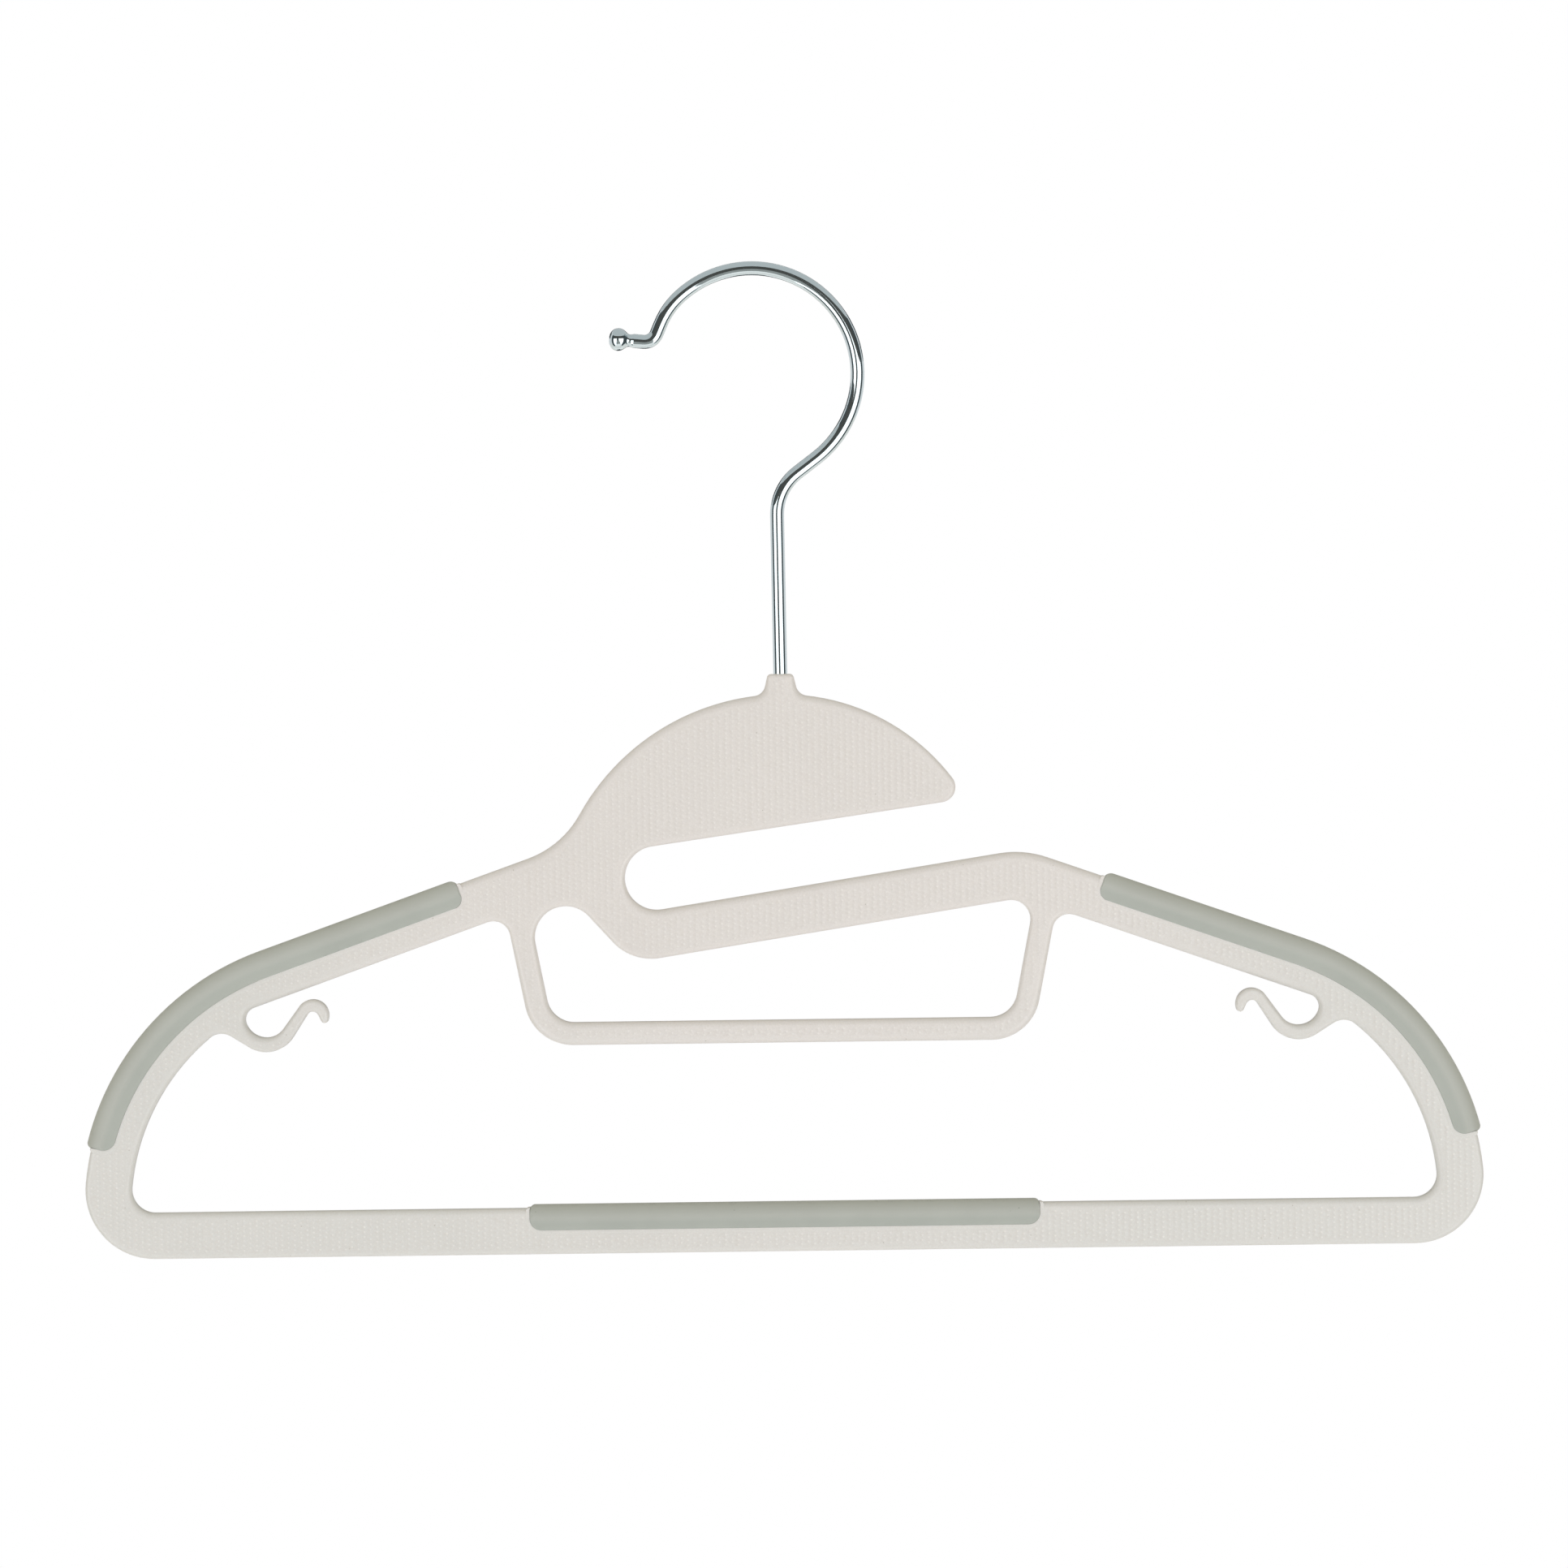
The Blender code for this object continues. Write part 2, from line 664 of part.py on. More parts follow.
def shoulder_grip_outline(grow=0.0):
    return shoulder_band(
        GRIP_PROUD,
        GRIP_REACH,
        GRIP_UPPER_PLACE,
        GRIP_LOWER_ANGLE,
        grow,
        (GRIP_UPPER_OUTER_RADIUS, GRIP_UPPER_INNER_RADIUS, GRIP_LOWER_OUTER_RADIUS, GRIP_LOWER_INNER_RADIUS),
        (GRIP_EDGE_RADIUS, GRIP_END_EDGE_RADIUS, GRIP_RIM_RADIUS),
    )


def bar_grip_outline(grow=0.0):
    return bar_band(
        BAR_GRIP_PROUD,
        GRIP_REACH,
        BAR_GRIP_WIDTH / 2,
        grow,
        (BAR_GRIP_UPPER_RADIUS, BAR_GRIP_LOWER_RADIUS),
        (GRIP_EDGE_RADIUS, GRIP_END_EDGE_RADIUS, GRIP_RIM_RADIUS),
    )


def shoulder_land_outline():
    """The land round the right grip, out to just proud of the shoulder's edge."""
    outer_corner = LAND_CORNER_RADIUS - LAND_WIDTH
    return shoulder_band(
        LAND_PROUD - LAND_WIDTH,
        GRIP_REACH,
        GRIP_UPPER_PLACE,
        GRIP_LOWER_ANGLE,
        LAND_WIDTH,
        (outer_corner, GRIP_UPPER_INNER_RADIUS, outer_corner, GRIP_LOWER_INNER_RADIUS),
        (LAND_EDGE_RADIUS,) * 3,
    )


def bar_land_outline():
    return bar_band(
        LAND_PROUD - LAND_WIDTH,
        GRIP_REACH,
        BAR_GRIP_WIDTH / 2,
        LAND_WIDTH,
        (LAND_CORNER_RADIUS - LAND_WIDTH, BAR_GRIP_LOWER_RADIUS),
        (LAND_EDGE_RADIUS,) * 3,
    )


def shoulder_tongue_outline(setback):
    """The part of the rail that stays inside the grip, running on past both of its ends."""
    past = degrees(2 * OVERRUN / SHOULDER_RADIUS)
    return shoulder_band(
        -setback,
        RAIL_WIDTH - OVERRUN / 2,
        GRIP_UPPER_PLACE - 2 * OVERRUN,
        GRIP_LOWER_ANGLE - past,
        corners=(OVERRUN / 2,) * 4,
    )


def bar_tongue_outline(setback):
    half_width = BAR_GRIP_WIDTH / 2 + 2 * OVERRUN
    return bar_band(-setback, RAIL_WIDTH - OVERRUN / 2, half_width, corners=(OVERRUN / 2,) * 2)


def rivet_places():
    """Where the grips join through the tongues: right shoulder first, then the bar."""
    depth = (TONGUE_SETBACK + GRIP_REACH) / 2
    upper_angle = 90.0 - SHOULDER_ANGLE
    arc_length = radians(upper_angle - GRIP_LOWER_ANGLE) * SHOULDER_RADIUS
    straight_start = GRIP_UPPER_PLACE / cos(radians(SHOULDER_ANGLE))
    bend = -SHOULDER.place(polar(SHOULDER_CENTRE, SHOULDER_RADIUS, upper_angle))
    straight_length = bend - straight_start
    shoulder = []
    for i in range(RIVETS_ON_SHOULDER):
        place = (i + 0.5) / RIVETS_ON_SHOULDER * (straight_length + arc_length)
        if place < straight_length:
            shoulder.append(add(SHOULDER.beside(depth).point, SHOULDER.along, -straight_start - place))
        else:
            angle = upper_angle - degrees((place - straight_length) / SHOULDER_RADIUS)
            shoulder.append(polar(SHOULDER_CENTRE, SHOULDER_RADIUS - depth, angle))
    step = BAR_GRIP_WIDTH / RIVETS_ON_BAR
    bar = [((i - (RIVETS_ON_BAR - 1) / 2) * step, BAR_TOP.point[1] - depth) for i in range(RIVETS_ON_BAR)]
    return shoulder, bar


def pins(name, places, radius, half):
    """Upright rods through the panel, as separate bodies of one mesh."""
    vertices = []
    faces = []
    for x, z in places:
        base = len(vertices)
        for y in (-half, half):
            for i in range(RIVET_SIDES):
                angle = 2 * pi * (i + 0.5) / RIVET_SIDES
                vertices.append((x + radius * cos(angle) - NECK_OFFSET, y, z + radius * sin(angle)))
        faces += tube_faces(base, 2, RIVET_SIDES)
        faces.append(tuple(range(base, base + RIVET_SIDES)))
        faces.append(tuple(range(base + RIVET_SIDES, base + 2 * RIVET_SIDES)))
    return helper(mesh_object(name, vertices, faces))


def make_grip(name, outline, tongue, places, material):
    """A soft channel over the tongue, whose two skins join through the tongue's holes."""
    grip = plate(name, [[outline]], PANEL_HALF + GRIP_FACE_PROUD, material)
    room = TONGUE_THICKNESS / 2 + GRIP_GAP
    combine(grip, helper(plate(name + "_room", [[tongue]], room, rounded=False)), "DIFFERENCE")
    skin = (PANEL_HALF - room) / 2
    combine(grip, pins(name + "_rivets", places, RIVET_DIAMETER / 2, room + skin), "UNION")
    return grip


def make_recesses():
    """The space that the grips take up in the frame: their outlines without the tongues."""
    shoulder = shoulder_grip_outline(GRIP_GAP)
    spaces = [[shoulder], [mirrored(shoulder)], [bar_grip_outline(GRIP_GAP)]]
    recesses = helper(plate("grip_recesses", spaces, PANEL_HALF + OVERRUN, rounded=False))
    tongue = shoulder_tongue_outline(TONGUE_SETBACK)
    tongues = [[tongue], [mirrored(tongue)], [bar_tongue_outline(TONGUE_SETBACK)]]
    combine(recesses, helper(plate("tongues", tongues, TONGUE_THICKNESS / 2, rounded=False)), "DIFFERENCE")
    return recesses


def make_bore():
    """The swivel hook's bore: it opens at the boss, narrows to a rib and widens again below it."""
    wide = (WIRE_DIAMETER / 2 + BORE_CLEARANCE) / cos(pi / BORE_SIDES)
    rib = (GROOVE_DIAMETER / 2 + BORE_CLEARANCE) / cos(pi / BORE_SIDES)
    middle = BOSS_TOP - GROOVE_DEPTH_IN_BORE
    half_rib = GROOVE_LENGTH / 2 - GROOVE_RAMP - AXIAL_CLEARANCE
    profile = [
        (wide, BOSS_TOP + OVERRUN),
        (wide, middle + half_rib + GROOVE_RAMP),
        (rib, middle + half_rib),
        (rib, middle - half_rib),
        (wide, middle - half_rib - GROOVE_RAMP),
        (wide, BOSS_TOP - BORE_DEPTH),
    ]
    return helper(turned("hook_bore", profile, BORE_SIDES))


def make_frame(material):
    frame = plate("hanger_frame", [[outside(), main_opening(), loop_opening()]], PANEL_HALF, material)
    shoulder_land = shoulder_land_outline()
    lands = [[shoulder_land], [mirrored(shoulder_land)], [bar_land_outline()]]
    combine(frame, helper(plate("grip_lands", lands, PANEL_HALF + LAND_FACE_PROUD)), "UNION")
    combine(frame, make_recesses(), "DIFFERENCE")
    shoulder_places, bar_places = rivet_places()
    places = shoulder_places + [(-x, z) for x, z in shoulder_places] + bar_places
    hole_radius = (RIVET_DIAMETER / 2 + GRIP_GAP) / cos(pi / RIVET_SIDES)
    combine(frame, pins("tongue_holes", places, hole_radius, PANEL_HALF), "DIFFERENCE")
    combine(frame, make_bore(), "DIFFERENCE")
    return frame


def make_grips(material):
    shoulder_places, bar_places = rivet_places()
    outline = shoulder_grip_outline()
    tongue = shoulder_tongue_outline(TONGUE_SETBACK - GRIP_GAP)
    left_places = [(-x, z) for x, z in shoulder_places]
    bar_tongue = bar_tongue_outline(TONGUE_SETBACK - GRIP_GAP)
    return [
        make_grip("right_shoulder_grip", outline, tongue, shoulder_places, material),
        make_grip("left_shoulder_grip", mirrored(outline), mirrored(tongue), left_places, material),
        make_grip("trouser_bar_grip", bar_grip_outline(), bar_tongue, bar_places, material),
    ]


def hook_centre():
    """The centre of the hook's arc. The rail touches the arc's inside on the swivel axis."""
    return (-CROWN_OFFSET, -sqrt(HOOK_INSIDE_RADIUS**2 - CROWN_OFFSET**2))


def wire_route():
    """The wire's centre line above the boss, as points with their directions, up to the ball."""
    centre = hook_centre()
    radius = HOOK_INSIDE_RADIUS + WIRE_DIAMETER / 2
    main = Ring(centre, radius)
    lip = Ring(polar(centre, radius - LIP_RADIUS, LIP_START_ANGLE), LIP_RADIUS)
    shank = Line((0.0, BOSS_TOP), 90.0)
    riser = Line(polar(centre, radius, RISER_ANGLE - 90.0), RISER_ANGLE)
    drop = Line(polar(lip.centre, LIP_RADIUS, LIP_END_ANGLE), LIP_END_ANGLE + 90.0)
    bend_point = add(drop.point, drop.along, LIP_DROP)
    tip = Line(bend_point, 180.0 - TIP_RISE)
    points = trace(
        [shank, riser, main, lip, drop, tip],
        [
            Fillet(-SHANK_BEND_RADIUS, 0.0),
            Touch(0.0),
            Touch(0.0),
            Touch(0.0),
            Fillet(-TIP_BEND_RADIUS, 0.0),
        ],
        start=shank.point,
        end=add(bend_point, tip.along, TIP_RUN - BALL_DIAMETER),
    )
    return [(place, (-normal[1], normal[0])) for place, normal, _ in points], add(bend_point, tip.along, TIP_RUN)


def shank_sections():
    """Height and radius down in the bore, from the wire's end to just above the boss."""
    wire = WIRE_DIAMETER / 2
    groove = GROOVE_DIAMETER / 2
    end = BOSS_TOP - BORE_DEPTH + AXIAL_CLEARANCE
    middle = BOSS_TOP - GROOVE_DEPTH_IN_BORE
    half = GROOVE_LENGTH / 2
    return [
        (end, wire - WIRE_END_CHAMFER),
        (end + WIRE_END_CHAMFER, wire),
        (middle - half, wire),
        (middle - half + GROOVE_RAMP, groove),
        (middle + half - GROOVE_RAMP, groove),
        (middle + half, wire),
    ]


BALL_SHARES = [
    (-1.15, 0.54),
    (-0.95, 0.55),
    (-0.78, 0.61),
    (-0.62, 0.70),
    (-0.46, 0.85),
    (-0.25, 0.97),
    (0.0, 1.0),
    (0.25, 0.96),
    (0.48, 0.84),
    (0.66, 0.64),
    (0.78, 0.38),
]
BALL_END_SHARE = 0.82


def make_hook(material):
    """One bent wire: shank with its groove, riser, arc, and a tip upset to a ball."""
    wire = WIRE_DIAMETER / 2
    up = (0.0, 1.0)
    sections = [((0.0, height), up, radius) for height, radius in shank_sections()]
    route, ball_centre = wire_route()
    sections += [(place, along, wire) for place, along in route]
    out = route[-1][1]
    ball = BALL_DIAMETER / 2
    neck_share = BALL_NECK_DIAMETER / BALL_DIAMETER
    for reach_share, size_share in BALL_SHARES:
        size = max(size_share, neck_share)
        sections.append((add(ball_centre, out, reach_share * ball), out, size * ball))
    vertices = []
    for (x, z), (ux, uz), radius in sections:
        for i in range(WIRE_SIDES):
            angle = 2 * pi * i / WIRE_SIDES
            side = radius * cos(angle)
            vertices.append((x + uz * side, -radius * sin(angle), z - ux * side))
    faces = tube_faces(0, len(sections), WIRE_SIDES)
    faces.append(tuple(range(WIRE_SIDES)))
    pole = add(ball_centre, out, BALL_END_SHARE * ball)
    vertices.append((pole[0], 0.0, pole[1]))
    last = (len(sections) - 1) * WIRE_SIDES
    for i in range(WIRE_SIDES):
        faces.append((last + i, last + (i + 1) % WIRE_SIDES, len(vertices) - 1))
    return mesh_object("swivel_hook", vertices, faces, material)


def main():
    for thing in list(bpy.data.objects):
        bpy.data.objects.remove(thing)
    plastic = finish_material("greige_plastic", (0.69, 0.67, 0.62), 0.45)
    rubber = finish_material("sage_grey_rubber", (0.42, 0.45, 0.39), 0.6)
    chrome = finish_material("chrome", (0.85, 0.87, 0.89), 0.08, 1.0)
    frame = make_frame(plastic)
    for grip in make_grips(rubber):
        grip.parent = frame
    make_hook(chrome)


main()
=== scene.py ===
# %% [markdown]
# # A child's clothes hanger
# The hanger is one flat plastic moulding with soft grips on its shoulders and its bar, and a chromed
# wire hook that swivels in its neck. This lesson builds the pieces that the eye sees, over a packed
# model that already has the right sizes and the joint. Loading that model first gives every later
# step something to measure from. All lengths are in metres, X runs along the bar, Z points up, and
# the front faces -Y. The origin is where a rail touches the hook.

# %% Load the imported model
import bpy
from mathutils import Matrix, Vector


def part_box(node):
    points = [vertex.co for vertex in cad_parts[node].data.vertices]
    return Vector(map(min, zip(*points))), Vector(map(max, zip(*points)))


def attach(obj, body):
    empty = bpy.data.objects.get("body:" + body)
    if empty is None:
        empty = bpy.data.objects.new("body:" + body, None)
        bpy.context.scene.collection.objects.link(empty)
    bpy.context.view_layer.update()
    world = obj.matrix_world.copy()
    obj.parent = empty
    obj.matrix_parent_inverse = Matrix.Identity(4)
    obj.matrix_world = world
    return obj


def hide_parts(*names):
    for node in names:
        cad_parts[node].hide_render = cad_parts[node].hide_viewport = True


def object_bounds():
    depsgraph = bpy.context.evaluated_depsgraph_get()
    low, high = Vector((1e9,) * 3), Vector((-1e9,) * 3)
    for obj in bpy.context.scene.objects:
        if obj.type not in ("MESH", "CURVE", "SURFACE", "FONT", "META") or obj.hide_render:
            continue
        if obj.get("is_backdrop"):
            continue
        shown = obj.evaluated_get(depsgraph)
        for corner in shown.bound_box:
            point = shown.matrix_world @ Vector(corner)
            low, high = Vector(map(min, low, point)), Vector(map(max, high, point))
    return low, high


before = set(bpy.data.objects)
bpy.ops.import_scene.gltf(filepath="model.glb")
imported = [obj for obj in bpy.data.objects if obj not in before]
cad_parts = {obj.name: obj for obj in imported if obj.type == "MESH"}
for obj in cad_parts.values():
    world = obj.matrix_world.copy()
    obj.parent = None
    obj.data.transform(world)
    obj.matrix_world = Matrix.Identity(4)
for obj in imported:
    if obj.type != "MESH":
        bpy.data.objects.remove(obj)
cad_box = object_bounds()
print("packed model from", [round(x, 4) for x in cad_box[0]], "to", [round(x, 4) for x in cad_box[1]])

# %% [markdown]
# ## Measures taken from the model
# A modeller who works on somebody else's part reads the overall sizes from it instead of typing
# them again. Here the frame's own box gives its width, its foot and the top of its neck boss.

# %% Overall measures
from dataclasses import dataclass
from math import acos, asin, atan2, ceil, cos, degrees, dist, hypot, pi, radians, sin, sqrt, tan

import bmesh
import bpy
import numpy as np
from mathutils import Matrix, Vector
from mathutils.geometry import delaunay_2d_cdt

MM = 0.001
frame_low, frame_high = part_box("hanger_frame")
HALF_WIDTH = (frame_high.x - frame_low.x) / 2
NECK_OFFSET = -(frame_high.x + frame_low.x) / 2
FRAME_BOTTOM = frame_low.z
BOSS_TOP = frame_high.z
print(f"half width {HALF_WIDTH / MM:.1f}, foot at {FRAME_BOTTOM / MM:.1f}, boss at {BOSS_TOP / MM:.1f} mm")

# %% [markdown]
# ## Straight edges and rings
# The outline of a moulding like this is a chain of straight lines and arcs that run smoothly into
# each other. It could be drawn as a Bezier curve, but then each arc would be a guess. Exact lines
# and circles, joined by a rule, keep the real radii. A line knows its direction, and a ring runs
# counter-clockwise where its radius is positive. The material always lies to the left.

# %% Lines and rings
def subtract(a, b):
    return (a[0] - b[0], a[1] - b[1])


def add(a, direction, distance):
    return (a[0] + direction[0] * distance, a[1] + direction[1] * distance)


def dot(a, b):
    return a[0] * b[0] + a[1] * b[1]


def polar(centre, radius, angle):
    """The point at a radius and an angle in degrees about a centre."""
    return add(centre, (cos(radians(angle)), sin(radians(angle))), radius)


class Line:
    """An endless straight edge, run in the direction of its angle."""

    def __init__(self, point, angle):
        self.point = point
        self.angle = angle
        self.along = (cos(radians(angle)), sin(radians(angle)))
        self.left = (-self.along[1], self.along[0])

    def beside(self, distance):
        """The same edge moved to its left."""
        return Line(add(self.point, self.left, distance), self.angle)

    def place(self, point):
        """How far along the edge a point lies."""
        return dot(subtract(point, self.point), self.along)


@dataclass
class Ring:
    """A circle, run counter-clockwise where its radius is positive and clockwise where it is negative."""

    centre: tuple
    radius: float

    def beside(self, distance):
        """The same circle moved to its left, towards its centre if it runs counter-clockwise."""
        return Ring(self.centre, self.radius - distance)


print("a line and a ring can both be moved to their left, which is how walls get their thickness")

# %% [markdown]
# ## Where edges meet
# Two edges are joined in one of three ways: with a fillet of a given radius, by touching because
# they are tangent already, or with a straight span that is tangent to both. The centre of a fillet
# is where the two edges cross after each is moved aside by the fillet's radius.

# %% Joins between edges
def meet(a, b, near=(0.0, 0.0)):
    """Where two edges cross, nearest to a point."""
    if isinstance(a, Ring) and isinstance(b, Line):
        a, b = b, a
    if isinstance(b, Line):
        turn = a.along[0] * b.along[1] - a.along[1] * b.along[0]
        gap = subtract(b.point, a.point)
        return add(a.point, a.along, (gap[0] * b.along[1] - gap[1] * b.along[0]) / turn)
    if isinstance(a, Line):
        along = a.along
        foot = add(a.point, along, a.place(b.centre))
        half_chord = sqrt(b.radius**2 - dist(foot, b.centre) ** 2)
    else:
        gap = subtract(b.centre, a.centre)
        distance = hypot(*gap)
        reach = (distance**2 + a.radius**2 - b.radius**2) / (2 * distance)
        along = (-gap[1] / distance, gap[0] / distance)
        foot = add(a.centre, gap, reach / distance)
        half_chord = sqrt(a.radius**2 - reach**2)
    crossings = [add(foot, along, half_chord), add(foot, along, -half_chord)]
    return min(crossings, key=lambda point: dist(point, near))


def contact(shape, ring):
    """Where a ring touches a line or another ring that it is tangent to."""
    if isinstance(shape, Line):
        return add(ring.centre, shape.left, -ring.radius)
    share = shape.radius / (shape.radius - ring.radius)
    return add(shape.centre, subtract(ring.centre, shape.centre), share)


@dataclass
class Fillet:
    """Joins two edges with an arc. A positive radius turns left, and a negative one turns right."""

    radius: float
    edge: float = 0.0
    near: tuple = (0.0, 0.0)

    def ends(self, a, b):
        arc = Ring(meet(a.beside(self.radius), b.beside(self.radius), self.near), self.radius)
        return contact(a, arc), arc, contact(b, arc)


@dataclass
class Touch:
    """Joins two edges that are tangent already."""

    edge: float = 0.0

    def ends(self, a, b):
        point = contact(a, b) if isinstance(b, Ring) else contact(b, a)
        return point, None, point


@dataclass
class Span:
    """Joins two rings with the straight edge that is tangent to both."""

    edge: float

    def ends(self, a, b):
        gap = subtract(b.centre, a.centre)
        angle = atan2(gap[1], gap[0]) - asin((b.radius - a.radius) / hypot(*gap))
        straight = Line(a.centre, degrees(angle)).beside(-a.radius)
        return straight.point, straight, add(b.centre, straight.left, -b.radius)


print("joins: fillet, touch and span")

# %% [markdown]
# ## From edges to points
# A mesh needs points. Each point also carries the outward direction there and the radius to which
# the moulding's edge is rounded, so the rounding can be swept along later. How finely an arc is cut
# follows from a flatness: the most that a chord may stray from the true arc. Straight edges are
# cut into steps as well, so that no face there gets long.

# %% Points along an outline
ARC_FLATNESS = 0.012 * MM
LINE_STEP = 3.0 * MM


def run_of(shape, start, end, edge_start, edge_end):
    """Points along an edge in its own direction, each with its outward normal and its edge radius."""
    straight = isinstance(shape, Line)
    if straight:
        count = max(1, ceil(dist(end, start) / LINE_STEP))
    else:
        radius = abs(shape.radius)
        sign = 1 if shape.radius > 0 else -1
        first, last = (atan2(p[1] - shape.centre[1], p[0] - shape.centre[0]) for p in (start, end))
        sweep = (last - first) * sign % (2 * pi)
        count = max(2, ceil(sweep / (2 * acos(1 - ARC_FLATNESS / radius))))
    points = []
    for i in range(count + 1):
        share = i / count
        if straight:
            place = add(start, subtract(end, start), share)
            normal = (shape.along[1], -shape.along[0])
        else:
            angle = first + sign * sweep * share
            place = add(shape.centre, (cos(angle), sin(angle)), radius)
            normal = (cos(angle) * sign, sin(angle) * sign)
        points.append((place, normal, edge_start + (edge_end - edge_start) * share))
    return points


print(f"arcs stay within {ARC_FLATNESS / MM:.3f} mm of true")

# %% [markdown]
# An outline is then traced from edge to edge: along each edge to where its join begins, and round
# the join to the next edge. Most outlines here are the same on both sides of the swivel axis, or
# nearly, so a half is traced and mirrored.

# %% Outlines
def trace(shapes, joins, start=None, end=None):
    """The points of an outline, given its edges and what joins each edge to the next.

    With a start and an end the outline is open, and otherwise the last join closes it.
    """
    closed = start is None
    bends = [join.ends(a, b) for join, a, b in zip(joins, shapes, shapes[1:] + shapes[:1])]
    if not closed:
        bends.append((end, None, start))
    points = []
    for i, shape in enumerate(shapes):
        leave, bend, onward = bends[i]
        edge_in = joins[i - 1 if i or closed else 0].edge
        edge_out = joins[min(i, len(joins) - 1)].edge
        points += run_of(shape, bends[i - 1][2], leave, edge_in, edge_out)
        if bend:
            points += run_of(bend, leave, onward, edge_out, edge_out)
    kept = []
    for point in points:
        if not kept or dist(point[0], kept[-1][0]) >= ARC_FLATNESS / 2:
            kept.append(point)
    if closed and dist(kept[0][0], kept[-1][0]) < ARC_FLATNESS / 2:
        kept.pop()
    return kept


def mirrored(points):
    """The outline on the other side of the swivel axis, still with its material to the left."""
    return [((-p[0], p[1]), (-n[0], n[1]), edge) for p, n, edge in reversed(points)]


def whole(right, left=None):
    """A closed outline from its right half, which starts and ends on the swivel axis."""
    return right[1:-1] + mirrored(left or right)[1:-1]


print("an outline can be traced whole, or as one half that is then mirrored")

# %% [markdown]
# ## The edges that pieces share
# The frame is a panel 6 mm thick with rails 10.5 mm wide, a dome with a tapered neck boss, a slanted
# slot for a tie, a loop and two strap hooks. Its real sizes are given where they are first needed.
# The shoulder's arc has to touch the sloping rail above it and the corner below it, so its centre is
# worked out from both instead of being typed. The grips follow the same edges further down.

# %% Shared edges
RAIL_WIDTH = 10.5 * MM
SHOULDER_ANGLE = 19.4
SHOULDER_DROP = 21.2 * MM
SHOULDER_RADIUS = 61.1 * MM
CORNER_RADIUS = 15.8 * MM
ARM_ANGLE = 8.71
ARM_WIDTH = 10.9 * MM
ARM_DROP = 60.4 * MM
SLOT_RADIUS = 7.3 * MM
SLOT_REACH = 28.4 * MM
SLOT_UPPER_ANGLE = 7.93
CORNER_CENTRE = (HALF_WIDTH - CORNER_RADIUS, FRAME_BOTTOM + CORNER_RADIUS)
BOTTOM = Line((0.0, FRAME_BOTTOM), 0.0)
BAR_TOP = Line((0.0, FRAME_BOTTOM + RAIL_WIDTH), 180.0)
SHOULDER = Line((0.0, BOSS_TOP - SHOULDER_DROP), 180.0 - SHOULDER_ANGLE)
SHOULDER_UNDER = Line(SHOULDER.beside(RAIL_WIDTH).point, -SHOULDER_ANGLE)
SHOULDER_CENTRE = meet(
    SHOULDER.beside(SHOULDER_RADIUS),
    Ring(CORNER_CENTRE, SHOULDER_RADIUS - CORNER_RADIUS),
    (HALF_WIDTH - SHOULDER_RADIUS, FRAME_BOTTOM),
)
ARM_UNDER = Line((0.0, BOSS_TOP - ARM_DROP), ARM_ANGLE)
SLOT_LOWER = Line(ARM_UNDER.beside(ARM_WIDTH).point, 180.0 + ARM_ANGLE)
SLOT_CENTRE = meet(SLOT_LOWER.beside(-SLOT_RADIUS), Line((-SLOT_REACH, 0.0), 90.0))
SLOT_END = Ring(SLOT_CENTRE, -SLOT_RADIUS)
SLOT_UPPER = Line(polar(SLOT_CENTRE, SLOT_RADIUS, 90.0 + SLOT_UPPER_ANGLE), SLOT_UPPER_ANGLE)
print(f"shoulder centre {SHOULDER_CENTRE[0] / MM:.2f}, {SHOULDER_CENTRE[1] / MM:.2f} mm")

# %% [markdown]
# ## The frame's outside
# On the real hanger this is the line where the two halves of the mould meet. It runs from the
# middle of the bar round a corner, up the shoulder, over the arm, through the tie slot, and up the
# dome to the neck boss. The left side has no slot: there the dome runs straight into the shoulder.
# Each join also says to which radius the moulding's edge is rounded: more on top than underneath.

# %% Outside of the frame
PANEL_EDGE_RADIUS = 1.7 * MM
LOWER_EDGE_RADIUS = 1.0 * MM
BOSS_TOP_WIDTH = 5.8 * MM
BOSS_HEIGHT = 4.65 * MM
BOSS_TAPER = 13.3
BOSS_CORNER_RADIUS = 1.0 * MM
BOSS_EDGE_RADIUS = 0.95 * MM
BOSS_FOOT_RADIUS = 2.8 * MM
DOME_LEFT_RADIUS = 53.4 * MM
DOME_RIGHT_RADIUS = 48.7 * MM
DOME_FOOT_RADIUS = 22.1 * MM
DOME_LIP_RADIUS = 3.5 * MM
DOME_TOP = BOSS_TOP - BOSS_HEIGHT
ARM_CREST_RADIUS = 22.5 * MM


def half_outside(neck, dome, edges, joins):
    """One side, from the middle of the bar to the middle of the boss, with any edges before the dome."""
    boss_corner = (neck + BOSS_TOP_WIDTH / 2, BOSS_TOP)
    return trace(
        [
            BOTTOM,
            Ring(CORNER_CENTRE, CORNER_RADIUS),
            Ring(SHOULDER_CENTRE, SHOULDER_RADIUS),
            SHOULDER,
            *edges,
            dome,
            Line(boss_corner, 90.0 + BOSS_TAPER),
            Line((neck, BOSS_TOP), 180.0),
        ],
        [
            *[Touch(LOWER_EDGE_RADIUS)] * 2,
            Touch(PANEL_EDGE_RADIUS),
            *joins,
            Fillet(-BOSS_FOOT_RADIUS, PANEL_EDGE_RADIUS, (neck + BOSS_TOP_WIDTH, DOME_TOP)),
            Fillet(BOSS_CORNER_RADIUS, BOSS_EDGE_RADIUS, boss_corner),
        ],
        start=BOTTOM.point,
        end=(neck, BOSS_TOP),
    )


